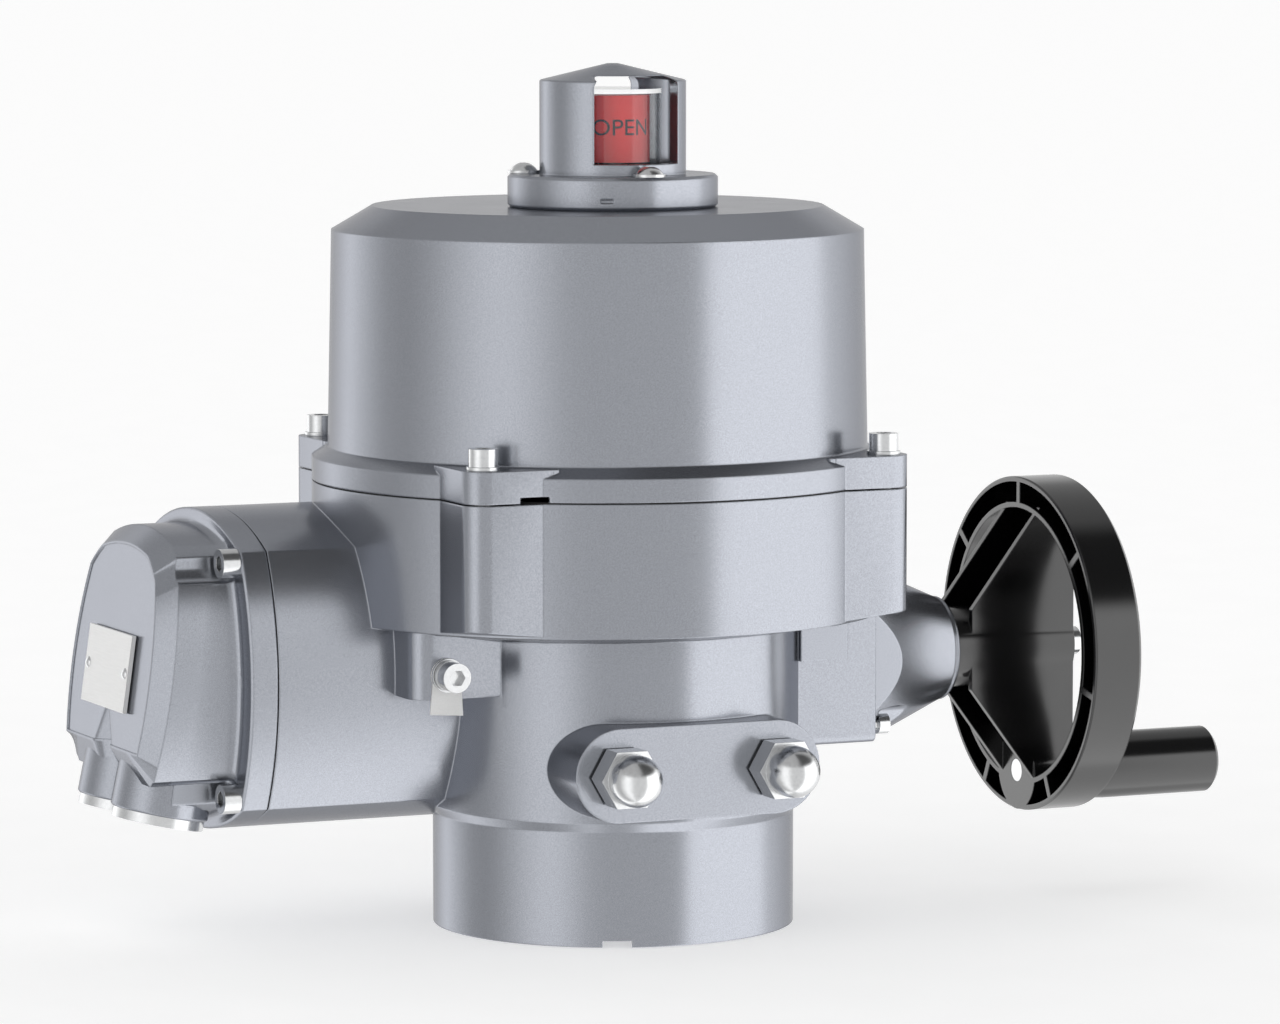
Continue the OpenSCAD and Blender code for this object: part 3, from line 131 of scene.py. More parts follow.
def mesh_object(name, points, faces, material, body, slot, sharp=SHARP, replaces=(), close_tips=False):
    """Make a piece from points in metres and faces, smooth except at edges over the sharp angle.

    With close_tips, the points of a ring that has shrunk to nothing become one point.
    """
    mesh = bpy.data.meshes.new(name)
    mesh.from_pydata(np.asarray(points).tolist(), [], faces if isinstance(faces, list) else faces.tolist())
    mesh.update()
    if close_tips:
        work = bmesh.new()
        work.from_mesh(mesh)
        bmesh.ops.remove_doubles(work, verts=work.verts[:], dist=MM / 1000)
        work.to_mesh(mesh)
        work.free()
    mesh.shade_smooth()
    mesh.set_sharp_from_angle(angle=math.radians(sharp))
    mesh.materials.append(material)
    piece = bpy.data.objects.new(name, mesh)
    bpy.context.scene.collection.objects.link(piece)
    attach(piece, body)
    if replaces:
        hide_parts(*replaces)
    return piece


def casting(name, points, faces, **options):
    """Make a painted piece of the housing from points in millimetres."""
    return mesh_object(name, points * MM, faces, MATERIALS["painted_casting"](), "housing",
                       "painted_casting", **options)


def welded(node):
    """Points and triangles of a CAD node, with points that round to the same micrometre made one."""
    data = frame["nodes"][node].data
    points = np.empty(len(data.vertices) * 3)
    data.vertices.foreach_get("co", points)
    corners = np.empty(len(data.loops), dtype=np.int64)
    data.loops.foreach_get("vertex_index", corners)
    points, index = np.unique(np.round(points.reshape(-1, 3), 6), axis=0, return_inverse=True)
    triangles = index.reshape(-1)[corners].reshape(-1, 3)
    a, b, c = triangles.T
    return points, triangles[(a != b) & (b != c) & (c != a)]


def smooth_copy(node):
    """Replace a CAD node by a merged copy of its skin, so that its round faces shade smoothly."""
    points, triangles = welded(node)
    slot = SLOT_OF[node]
    return mesh_object("skin_" + node, points, triangles, MATERIALS[slot](), frame["nodes"][node]["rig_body"],
                       slot, replaces=(node,))


def directions(count):
    """Cosines and sines of directions spaced evenly round a circle."""
    angle = np.linspace(0, 2 * math.pi, count, endpoint=False)
    return np.cos(angle), np.sin(angle)


def closed_grid(rows, columns):
    """Quads of a grid of rows by columns that closes on itself in both directions."""
    row, column = np.meshgrid(np.arange(rows), np.arange(columns), indexing="ij")
    next_row, next_column = (row + 1) % rows, (column + 1) % columns
    return np.stack((row * columns + column, next_row * columns + column,
                     next_row * columns + next_column, row * columns + next_column), -1).reshape(-1, 4)


def outward(points, quads):
    """Faces turned to the outside: all are flipped when the volume under them comes out negative."""
    a, b, c, d = (points[quads[:, k]] for k in range(4))
    volume = (np.cross(a, b) * c).sum() + (np.cross(a, c) * d).sum()
    return quads if volume > 0 else quads[:, ::-1]


def entry(cos, sin, centre, radius):
    """Distance from the middle to a circle along each direction, endless where the direction misses it."""
    along = cos * centre[0] + sin * centre[1]
    inside = along ** 2 - centre[0] ** 2 - centre[1] ** 2 + radius ** 2
    return np.where((inside > 0) & (along > 0), along - np.sqrt(np.maximum(inside, 0)), np.inf)


def flat_limit(cos, distance):
    """Distance from the middle to a pair of flats: distance / cos, kept finite along the flats."""
    return distance / np.maximum(abs(cos), 1e-6)


def box_outline(cos, sin, side_in, top_in):
    """Distance from the terminal box's middle to its outline, set in from the sides and from the top.

    The outline is the part inside five circles, so the distance is the least of the ways out of them:
    u.c + sqrt((u.c)^2 - c^2 + r^2) for a circle of middle c and radius r, along direction u.
    """
    width, height, arch_r, side_r = 111.7, 109.9, 95.8, 91.8
    corner_share = 0.8
    half_w, half_h = width / 2 - side_in, height / 2 - top_in
    circles = [(0, half_h - arch_r, arch_r), (0, arch_r - half_h, arch_r), (half_w - side_r, 0, side_r),
               (side_r - half_w, 0, side_r), (0, 0, corner_share * math.hypot(half_w, half_h))]
    along = [cos * y + sin * z for y, z, _ in circles]
    return np.min([a + np.sqrt(a ** 2 - y ** 2 - z ** 2 + r ** 2) for a, (y, z, r) in zip(along, circles)],
                  axis=0)


# Materials


def principled(name, values, bevel_mm=0.0):
    """New material with a Principled shader, and a Bevel node on its normal where edges are rounded."""
    material = bpy.data.materials.new(name)
    material.use_nodes = True
    tree = material.node_tree
    tree.nodes.clear()
    shader = add_node(tree, "ShaderNodeBsdfPrincipled", values)
    add_node(tree, "ShaderNodeOutputMaterial", links={"Surface": shader.outputs["BSDF"]})
    coords = add_node(tree, "ShaderNodeTexCoord").outputs["Object"]
    edge = None
    if bevel_mm:
        edge = add_node(tree, "ShaderNodeBevel", {"Radius": bevel_mm * MM}, samples=6).outputs["Normal"]
    return material, tree, shader, coords, edge


def noise(tree, coords, size_mm, detail=2.0, roughness=0.5):
    """Noise whose grain is about the given size on the object."""
    return add_node(tree, "ShaderNodeTexNoise",
                    {"Scale": 1 / (size_mm * MM), "Detail": detail, "Roughness": roughness},
                    {"Vector": coords}).outputs["Fac"]


def tone(tree, shader, fac, dark, light, low=0.3, high=0.7):
    """Base colour that runs between two hex colours with a pattern."""
    ramp = add_node(tree, "ShaderNodeValToRGB", links={"Fac": fac})
    set_ramp(ramp, [(low, linear(dark)), (high, linear(light))])
    tree.links.new(ramp.outputs["Color"], shader.inputs["Base Color"])


def vary_roughness(tree, shader, fac, low, high):
    """Roughness that runs between two values with a pattern."""
    spread = add_node(tree, "ShaderNodeMapRange", {"To Min": low, "To Max": high}, {"Value": fac})
    tree.links.new(spread.outputs["Result"], shader.inputs["Roughness"])


def relief(tree, shader, height, depth_mm, strength=1.0, normal=None):
    """Bump of a real depth on the shader's normal, on top of the rounded edges."""
    links = {"Height": height}
    if normal is not None:
        links["Normal"] = normal
    bump = add_node(tree, "ShaderNodeBump", {"Strength": strength, "Distance": depth_mm * MM}, links)
    tree.links.new(bump.outputs["Normal"], shader.inputs["Normal"])


MATERIALS = {}


def finish(slot):
    """Keep a material function under its slot, and make its material only once."""
    def keep(make):
        made = []

        def once():
            if not made:
                made.append(make())
            return made[0]

        MATERIALS[slot] = once
        return once
    return keep


@finish("painted_casting")
def powder_coated_aluminium():
    """Die-cast aluminium under silver-grey powder coat: satin, with fine orange peel and metal flake."""
    settings = bpy.context.scene.actuator_finish
    material, tree, shader, coords, edge = principled(
        "powder_coated_aluminium", {"Metallic": settings.paint_flake,
                                    "Specular Tint": linear("#C4C4C6")}, settings.edge_round)
    # Flake of about 0.4 mm, drawn coarser than the real 0.05 mm so that it shows
    tone(tree, shader, noise(tree, coords, 0.4, 1.0), settings.paint_dark, settings.paint_light)
    vary_roughness(tree, shader, noise(tree, coords, 18.0, 3.0), 0.19, 0.24)
    relief(tree, shader, noise(tree, coords, 1.6, 1.0), 0.0015, 0.3, edge)
    return material


@finish("stainless_steel")
def turned_stainless_steel():
    """Stainless steel, cold headed and tumbled: bright, slightly scratched, no colour of its own."""
    material, tree, shader, coords, edge = principled("turned_stainless_steel", {"Metallic": 1.0}, 0.2)
    tone(tree, shader, noise(tree, coords, 1.2), "#C9CACB", "#D0D1D2")
    vary_roughness(tree, shader, noise(tree, coords, 3.0, 2.0), 0.2, 0.25)
    relief(tree, shader, noise(tree, coords, 0.5), 0.0008, 0.2, edge)
    return material


@finish("machined_steel")
def machined_steel():
    """Carbon steel, turned and milled: grey, with fine tool marks."""
    material, tree, shader, coords, edge = principled("machined_steel", {"Metallic": 1.0}, 0.2)
    tone(tree, shader, noise(tree, coords, 2.0), "#8E9093", "#A9ABAD")
    vary_roughness(tree, shader, noise(tree, coords, 1.5, 3.0), 0.25, 0.4)
    relief(tree, shader, noise(tree, coords, 0.3), 0.004, 0.4, edge)
    return material


@finish("bronze")
def cast_bronze():
    """Tin bronze, hobbed and reamed: warm yellow-brown metal with a dull bloom."""
    material, tree, shader, coords, _ = principled("cast_bronze", {"Metallic": 1.0})
    tone(tree, shader, noise(tree, coords, 3.0), "#9A7440", "#B98E52")
    vary_roughness(tree, shader, noise(tree, coords, 2.0, 3.0), 0.28, 0.42)
    return material


@finish("black_plastic")
def moulded_black_resin():
    """Black phenolic resin, compression moulded: deep black with a gloss that blurs reflections a little."""
    material, tree, shader, coords, edge = principled(
        "moulded_black_resin", {"IOR": 1.65}, 0.5)
    tone(tree, shader, noise(tree, coords, 0.6), "#050506", "#09090A")
    vary_roughness(tree, shader, noise(tree, coords, 9.0, 3.0), 0.14, 0.2)
    relief(tree, shader, noise(tree, coords, 1.2), 0.001, 0.3, edge)
    return material


@finish("clear_glass")
def clear_polycarbonate():
    """Polycarbonate, injection moulded and clear: sharp reflections, a trace of haze."""
    material, tree, shader, coords, _ = principled(
        "clear_polycarbonate", {"Transmission Weight": 1.0, "IOR": 1.5, "Specular IOR Level": 0.2})
    tone(tree, shader, noise(tree, coords, 20.0), "#F4F7F7", "#FFFFFF")
    vary_roughness(tree, shader, noise(tree, coords, 6.0), 0.0, 0.03)
    return material


@finish("red_plastic")
def moulded_red_plastic():
    """Red ABS, injection moulded: even bright red with a soft shine."""
    material, tree, shader, coords, _ = principled("moulded_red_plastic", {"IOR": 1.53})
    tone(tree, shader, noise(tree, coords, 0.8), "#F01E24", "#F8282D")
    vary_roughness(tree, shader, noise(tree, coords, 5.0), 0.3, 0.4)
    return material


@finish("seal_rubber")
def nitrile_rubber():
    """Nitrile rubber cord and flat rings: black and dull."""
    material, tree, shader, coords, _ = principled("nitrile_rubber", {"IOR": 1.52})
    tone(tree, shader, noise(tree, coords, 0.5), "#0A0A0A", "#141414")
    vary_roughness(tree, shader, noise(tree, coords, 2.0), 0.6, 0.75)
    return material


@finish("plate_metal")
def coated_plate():
    """Aluminium sheet with a white baked coat: off-white, satin, faint rolling grain."""
    material, tree, shader, coords, edge = principled("coated_plate", {"IOR": 1.5}, 0.2)
    stretch = add_node(tree, "ShaderNodeMapping", {"Scale": (1.0, 0.08, 1.0)}, {"Vector": coords})
    along = stretch.outputs["Vector"]
    tone(tree, shader, noise(tree, along, 0.5), "#EFEFEE", "#F4F4F3")
    vary_roughness(tree, shader, noise(tree, coords, 3.0), 0.3, 0.42)
    relief(tree, shader, noise(tree, along, 0.4), 0.003, 0.3, edge)
    return material


@finish("board")
def glass_epoxy_board():
    """Glass-fibre epoxy board under green solder mask: fine weave below a shiny film."""
    material, tree, shader, coords, _ = principled("glass_epoxy_board", {"IOR": 1.55})
    weave = add_node(tree, "ShaderNodeTexChecker", {"Scale": 900.0}, {"Vector": coords}).outputs["Fac"]
    tone(tree, shader, weave, "#14522C", "#1B6638")
    vary_roughness(tree, shader, noise(tree, coords, 4.0), 0.25, 0.4)
    return material


@finish("terminal_plastic")
def terminal_polyamide():
    """Polyamide, injection moulded: light grey, dull, slightly waxy."""
    material, tree, shader, coords, _ = principled("terminal_polyamide", {"IOR": 1.53})
    tone(tree, shader, noise(tree, coords, 1.0), "#A9ABA4", "#B9BBB4")
    vary_roughness(tree, shader, noise(tree, coords, 3.0), 0.42, 0.55)
    return material


@finish("dark_plastic")
def switch_resin():
    """Phenolic switch housing: dark grey-brown and dull."""
    material, tree, shader, coords, _ = principled("switch_resin", {"IOR": 1.55})
    tone(tree, shader, noise(tree, coords, 0.8), "#1E1D1F", "#2A292B")
    vary_roughness(tree, shader, noise(tree, coords, 3.0), 0.4, 0.55)
    return material


@finish("cam_plastic")
def cam_acetal():
    """Acetal, machined: milky white with fine turning lines."""
    material, tree, shader, coords, _ = principled("cam_acetal", {"IOR": 1.48})
    tone(tree, shader, noise(tree, coords, 1.2), "#D8D7CF", "#E6E5DE")
    vary_roughness(tree, shader, noise(tree, coords, 2.0), 0.35, 0.5)
    return material


@finish("motor_paint")
def motor_enamel():
    """Baked enamel on a rolled steel motor case: dark grey with a faint peel."""
    material, tree, shader, coords, _ = principled("motor_enamel", {"IOR": 1.5})
    tone(tree, shader, noise(tree, coords, 2.0), "#3A3E42", "#474B50")
    vary_roughness(tree, shader, noise(tree, coords, 5.0), 0.35, 0.5)
    relief(tree, shader, noise(tree, coords, 1.5), 0.008, 0.3)
    return material


@finish("printed_ink")
def pad_printed_ink():
    """Pad-printed ink: nearly black blue, matt, with a slightly uneven film."""
    material, tree, shader, coords, _ = principled("pad_printed_ink", {"IOR": 1.5})
    tone(tree, shader, noise(tree, coords, 0.4), "#10122A", "#191B36")
    vary_roughness(tree, shader, noise(tree, coords, 1.0), 0.45, 0.6)
    return material


# Settings


class ActuatorFinish(bpy.types.PropertyGroup):
    """Colours and gloss of the castings."""

    paint_dark: StringProperty(
        name="Paint, dark", description="sRGB hex colour of the coat between the flakes", default="#93969D")
    paint_light: StringProperty(
        name="Paint, light", description="sRGB hex colour of the flakes", default="#9FA2A9")
    paint_flake: FloatProperty(
        name="Metal flake", description="How metallic the coat looks", default=0.85, min=0.0, max=1.0,
        subtype="FACTOR")
    edge_round: FloatProperty(
        name="Edge rounding", description="Radius in millimetres with which casting edges catch the light",
        default=0.8, min=0.0, max=3.0)


class ActuatorLettering(bpy.types.PropertyGroup):
    """Lettering on the indicator drum."""

    word: StringProperty(
        name="Word", description="Word in the window when the valve is open", default="OPEN")
    height: FloatProperty(
        name="Height", description="Height of the capitals", default=5.5 * MM, unit="LENGTH")
    width: FloatProperty(
        name="Width", description="Length of the word round the drum", default=20.5 * MM, unit="LENGTH")
    turn: FloatProperty(
        name="Turn", description="Angle from the front to the middle of the word", default=math.radians(-9),
        unit="ROTATION")


# Pieces


class ACTUATOR_OT_castings(bpy.types.Operator):
    """Painted castings with smooth round faces and soft edges"""

    bl_idname = "actuator.castings"
    bl_label = "Castings"

    def execute(self, context):
        for node in ("lower_housing", "cover", "indicator_hood"):
            smooth_copy(node)
        self.terminal_cover()
        self.conduit_bosses()
        self.bonnet()
        self.ear_webs()
        return {"FINISHED"}

    def terminal_cover(self):
        """Cover of the terminal box in rings round its middle: flange, body, bevel, rim and sunken panel.

        Each ring is the box's outline, or the nearer side of the screw troughs, with its lower end cut
        level. Depth grows with height by the panel's lean. Between the conduit bosses a V-shaped groove
        deepens downwards from under the plate.
        """
        joint_x, flange_x, panel_x = -129.95, -139.4, -169.9
        lean = math.tan(math.radians(8))
        screw_y, screw_z, trough_r = 41.2, 40.0, 7.0
        body_in, panel_in = (10.2, 5.1), (16.3, 10.7)
        body_low, panel_low = 35.0, 24.5
        bevel, rim, sunk, rim_wall = 6.0, 0.7, 0.5, 0.05
        foot_half, foot_x, root_r = 34.0, flange_x - 15, 3.0
        root_rings, panel_rings = 6, 70
        cos, sin = directions(900)

        def cut(radius, low):
            return np.where(sin < 0, np.minimum(radius, flat_limit(sin, low)), radius)

        troughs = np.min([entry(cos, sin, (y, z), trough_r)
                          for y in (-screw_y, screw_y) for z in (-screw_z, screw_z)], axis=0)
        uncut = np.minimum(box_outline(cos, sin, *body_in), troughs)
        body = cut(uncut, body_low)
        # Under the bosses a foot joins the body's lower end to the flange
        under_foot = (sin < 0) & (body_low * abs(cos) < foot_half * -sin)
        foot = np.where(under_foot, np.minimum(uncut, flat_limit(cos, foot_half)), body)
        panel = cut(box_outline(cos, sin, *panel_in), panel_low)
        inner = cut(box_outline(cos, sin, panel_in[0] + rim, panel_in[1] + rim), panel_low - rim)
        flange = box_outline(cos, sin, 0, 0)
        # Each ring: radius, depth at mid height, whether it leans, whether the groove runs through it
        rings = [(np.zeros_like(cos), joint_x, 0, 0), (flange, joint_x, 0, 0), (flange, flange_x + rim, 0, 0),
                 (box_outline(cos, sin, rim, rim), flange_x, 0, 0)]
        rings += [(foot + root_r * (1 - math.sin(a)), flange_x - root_r * (1 - math.cos(a)), 0, 0)
                  for a in np.linspace(0, math.pi / 2, root_rings)]
        rings += [(foot, foot_x, 1, 0), (body, foot_x, 1, 0), (body, panel_x + bevel, 1, 1),
                  (panel, panel_x, 1, 1), (inner, panel_x, 1, 1)]
        rings += [((inner - rim_wall) * share, panel_x + sunk, 1, 1)
                  for share in np.linspace(1, 0, panel_rings)]
        radius = np.array([ring[0] for ring in rings])
        depth, leaning, grooved = np.array([ring[1:] for ring in rings], dtype=float).T[:, :, None]
        y, z = radius * cos, radius * sin
        x = depth + leaning * lean * z + grooved * self.groove(y, z, panel_low)
        points = np.stack((x, BOX_Y + y, BOX_Z + z), -1).reshape(-1, 3)
        rows, columns = radius.shape
        quads = closed_grid(rows, columns)[:(rows - 1) * columns]
        casting("terminal_cover_shell", points, outward(points, quads), sharp=18.0,
                replaces=("terminal_cover",), close_tips=True)

    def groove(self, y, z, panel_low):
        """Depth of the V between the bosses: steepness times the way in from its rounded edge, to a floor."""
        top, half_w, half_steep, edge, floor, start = 10.2, 8.4, 0.6, 0.5, 8.0, 8.0
        way_in = (-top - np.maximum(z, -panel_low)) * half_w / (panel_low - top) - abs(y)
        depth = np.minimum(half_steep * (way_in + np.sqrt(way_in ** 2 + edge)), floor)
        return np.where(z < -start, depth, 0)

    def conduit_bosses(self):
        """Two leaning round bosses: a profile of radius and height turned round an axis tilted in X and Z."""
        lean = math.radians(12)
        mouth_x, mouth_z, pitch = -158.74, 43.3, 34.0
        boss_r, edge, shoulder_z, length, top_r, tip_r = 16.75, 0.6, 30.0, 33.0, 14.0, 12.5
        profile = np.array([(tip_r, 0), (boss_r - edge, 0), (boss_r, edge),
                            (boss_r, shoulder_z), (top_r, length), (tip_r, length)])
        cos, sin = directions(96)
        across, side = profile[:, :1] * cos, profile[:, :1] * sin
        up = np.repeat(profile[:, 1:], len(cos), 1)
        x = mouth_x + across * math.cos(lean) + up * math.sin(lean)
        z = mouth_z - across * math.sin(lean) + up * math.cos(lean)
        for name, y in (("conduit_boss_near", BOX_Y - pitch / 2), ("conduit_boss_far", BOX_Y + pitch / 2)):
            points = np.stack((x, y + side, z), -1).reshape(-1, 3)
            casting(name, points, outward(points, closed_grid(*across.shape)))

    def bonnet(self):
        """Cone on the hand drive's axis, cut by flats: radius = min(cone, flat / cos or sin, screw pocket).

        The cone's radius is tip_r + slope (tip_x - x). Rows of the grid run from the flange to the nose
        and back through the bore, and one row lies where the cone leaves the flats.
        """
        low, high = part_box("bonnet")
        back, seat_x, front = 83.2, 89.2, high.x / MM
        axis_z = (low.z + high.z) / 2 / MM
        half_side, half_up = 30.0, 26.5
        slope, tip_r, tip_x, nose_l = 0.43, 18.0, 124.7, 1.2
        screw_y, screw_z, pocket_r, bore_r = 25.0, 22.3, 6.0, 9.0
        least, flat_rows, cone_rows = 0.05, 40, 60
        cos, sin = directions(720)
        flat = np.minimum(flat_limit(cos, half_side), flat_limit(sin, half_up))
        leave = np.clip(tip_x - (flat - tip_r) / slope, back + least, tip_x)
        pocket = np.min([entry(cos, sin, (y, z), pocket_r)
                         for y in (-screw_y, screw_y) for z in (-screw_z, screw_z)], axis=0)
        x = np.vstack((back + (leave - back) * np.linspace(0, 1, flat_rows)[:, None],
                       leave + (tip_x - nose_l - leave) * np.linspace(0, 1, cone_rows)[1:, None]))
        radius = np.minimum(flat, tip_r + slope * (tip_x - x))
        radius = np.where(x > seat_x, np.minimum(radius, pocket), radius)
        # Rounded edge of the nose: steps back from the front, and in from the cone's last radius
        nose = np.array([(-1.6, -0.15), (-0.8, -0.75), (-0.25, -1.6), (0.0, -2.6)])
        nose_x = np.repeat(front + nose[:, :1], len(cos), 1)
        nose_r = np.repeat(tip_r + slope * nose_l + nose[:, 1:], len(cos), 1)
        bore = np.full((1, len(cos)), bore_r)
        x = np.vstack((x, nose_x, np.full_like(bore, front), np.full_like(bore, back)))
        radius = np.vstack((radius, nose_r, bore, bore))
        points = np.stack((x, radius * cos, axis_z + radius * sin), -1).reshape(-1, 3)
        casting("bonnet_cone", points, outward(points, closed_grid(*x.shape)), sharp=14.0,
                replaces=("bonnet",))

    def ear_webs(self):
        """Prisms that run the cover's ears out into its wall: one plan, mirrored and swapped eight times."""
        plan = np.array([(43.0, 58.0), (53.0, 58.0), (53.0, 81.9),
                         (50.0, 81.9), (45.5, 76.0), (43.0, 68.0)])
        bottom, top = 158.0, 164.15
        corners = len(plan)
        ring = np.arange(corners)
        after = (ring + 1) % corners
        sides = np.column_stack((ring, after, after + corners, ring + corners))
        points, faces = [], []
        for swapped, x_side, y_side in itertools.product((False, True), (-1, 1), (-1, 1)):
            flat = (plan[:, ::-1] if swapped else plan) * (x_side, y_side) + (0, BOWL_Y)
            # A mirrored plan runs the other way round and is turned back
            if swapped != (x_side * y_side < 0):
                flat = flat[::-1]
            start = len(points)
            points += [(*corner, z) for z in (bottom, top) for corner in flat]
            faces += [(start + face).tolist() for face in (ring[::-1], ring + corners, *sides)]
        casting("cover_ear_webs", np.array(points), faces, sharp=0.0)


class ACTUATOR_OT_fasteners(bpy.types.Operator):
    """Screws, washers, cap nuts and conduit plugs in stainless steel"""

    bl_idname = "actuator.fasteners"
    bl_label = "Fasteners"

    def execute(self, context):
        for node in ("cover_screws", "cover_washers", "indicator_screws", "indicator_washers",
                     "terminal_cover_screws", "conduit_plugs", "stop_screws", "stop_cap_nuts", "stop_washers",
                     "earth_screw", "earth_washers", "bonnet_screws", "nameplate_rivets", "handwheel_screw",
                     "handle_spindle"):
            smooth_copy(node)
        return {"FINISHED"}


class ACTUATOR_OT_hand_drive(bpy.types.Operator):
    """Handwheel and its crank handle"""

    bl_idname = "actuator.hand_drive"
    bl_label = "Hand drive"

    def execute(self, context):
        for node in ("handwheel", "crank_handle"):
            smooth_copy(node)
        return {"FINISHED"}


class ACTUATOR_OT_indicator(bpy.types.Operator):
    """Drum, word and glass of the position indicator"""

    bl_idname = "actuator.indicator"
    bl_label = "Indicator"

    def execute(self, context):
        smooth_copy("indicator_drum")
        # Light reaches the drum straight through the thin glass
        glass = smooth_copy("indicator_glass")
        glass.visible_shadow = False
        glass.visible_diffuse = False
        self.lettering(context.scene.actuator_lettering)
        return {"FINISHED"}

    def lettering(self, settings):
        """Wrap flat letters on the drum: x becomes the arc and y the height, just over the drum's radius."""
        curve = bpy.data.curves.new("word", "FONT")
        curve.body = settings.word
        curve.resolution_u = 6
        flat = bpy.data.objects.new("word", curve)
        bpy.context.scene.collection.objects.link(flat)
        bpy.context.view_layer.update()
        mesh = bpy.data.meshes.new_from_object(flat)
        bpy.data.objects.remove(flat)
        work = bmesh.new()
        work.from_mesh(mesh)
        across = [v.co.x for v in work.verts]
        # Upright cuts every 0.5 mm or so, so that the letters bend with the drum
        cuts = 42
        for place in np.linspace(min(across), max(across), cuts)[1:-1]:
            bmesh.ops.bisect_plane(work, geom=work.verts[:] + work.edges[:] + work.faces[:],
                                   plane_co=(place, 0, 0), plane_no=(1, 0, 0))
        work.to_mesh(mesh)
        work.free()
        points = np.empty(len(mesh.vertices) * 3)
        mesh.vertices.foreach_get("co", points)
        points = points.reshape(-1, 3)
        low, high = points.min(0), points.max(0)
        low_corner, high_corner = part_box("indicator_drum")
        over_drum, film, raised = 0.03 * MM, 0.06 * MM, 0.6 * MM
        radius = (high_corner.x - low_corner.x) / 2 + over_drum
        middle = (high_corner.z + low_corner.z) / 2 + raised
        span = (points - (low + high) / 2) / (high - low + 1e-12)
        angle = settings.turn + span[:, 0] * settings.width / radius
        points = np.column_stack((radius * np.sin(angle), -radius * np.cos(angle),
                                  middle + span[:, 1] * settings.height))
        mesh.vertices.foreach_set("co", points.ravel())
        mesh.update()
        mesh.materials.clear()
        mesh.materials.append(MATERIALS["printed_ink"]())
        piece = bpy.data.objects.new("drum_word", mesh)
        bpy.context.scene.collection.objects.link(piece)
        thick = piece.modifiers.new("film", "SOLIDIFY")
        thick.thickness = film
        thick.offset = 1.0
        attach(piece, "output")


class ACTUATOR_OT_plates(bpy.types.Operator):
    """Bare plate on the terminal cover and bare tag at the earth screw"""

    bl_idname = "actuator.plates"
    bl_label = "Plates"

    def execute(self, context):
        for node in ("nameplate", "earth_tag"):
            smooth_copy(node)
        return {"FINISHED"}


class ACTUATOR_OT_seals(bpy.types.Operator):
    """Black joint lines between the castings"""

    bl_idname = "actuator.seals"
    bl_label = "Seals"

    def execute(self, context):
        for node in ("housing_seal", "terminal_seal"):
            smooth_copy(node)
        return {"FINISHED"}


class ACTUATOR_OT_works(bpy.types.Operator):
    """Gears, shafts, motor, switches and board inside the housing"""

    bl_idname = "actuator.works"
    bl_label = "Works"

    def execute(self, context):
        replaced = {"bonnet", "terminal_cover"}
        for node, piece in frame["nodes"].items():
            if node in replaced or "skin_" + node in bpy.data.objects:
                continue
            piece.data.materials.clear()
            piece.data.materials.append(MATERIALS[SLOT_OF[node]]())
        return {"FINISHED"}


def set_lights(ramp, lights, brightest):
    """Give a Color Ramp greys by direction: angle to the right of the camera in degrees, and brightness."""
    set_ramp(ramp, [((angle + 180) / 360, (level / brightest,) * 3 + (1.0,)) for angle, level in lights])


def any_of(tree, *rays):
    """One where any of the given outputs is one."""
    seen = rays[0]
    for ray in rays[1:]:
        seen = add_node(tree, "ShaderNodeMath", links={0: seen, 1: ray}, operation="MAXIMUM").outputs["Value"]
    return seen


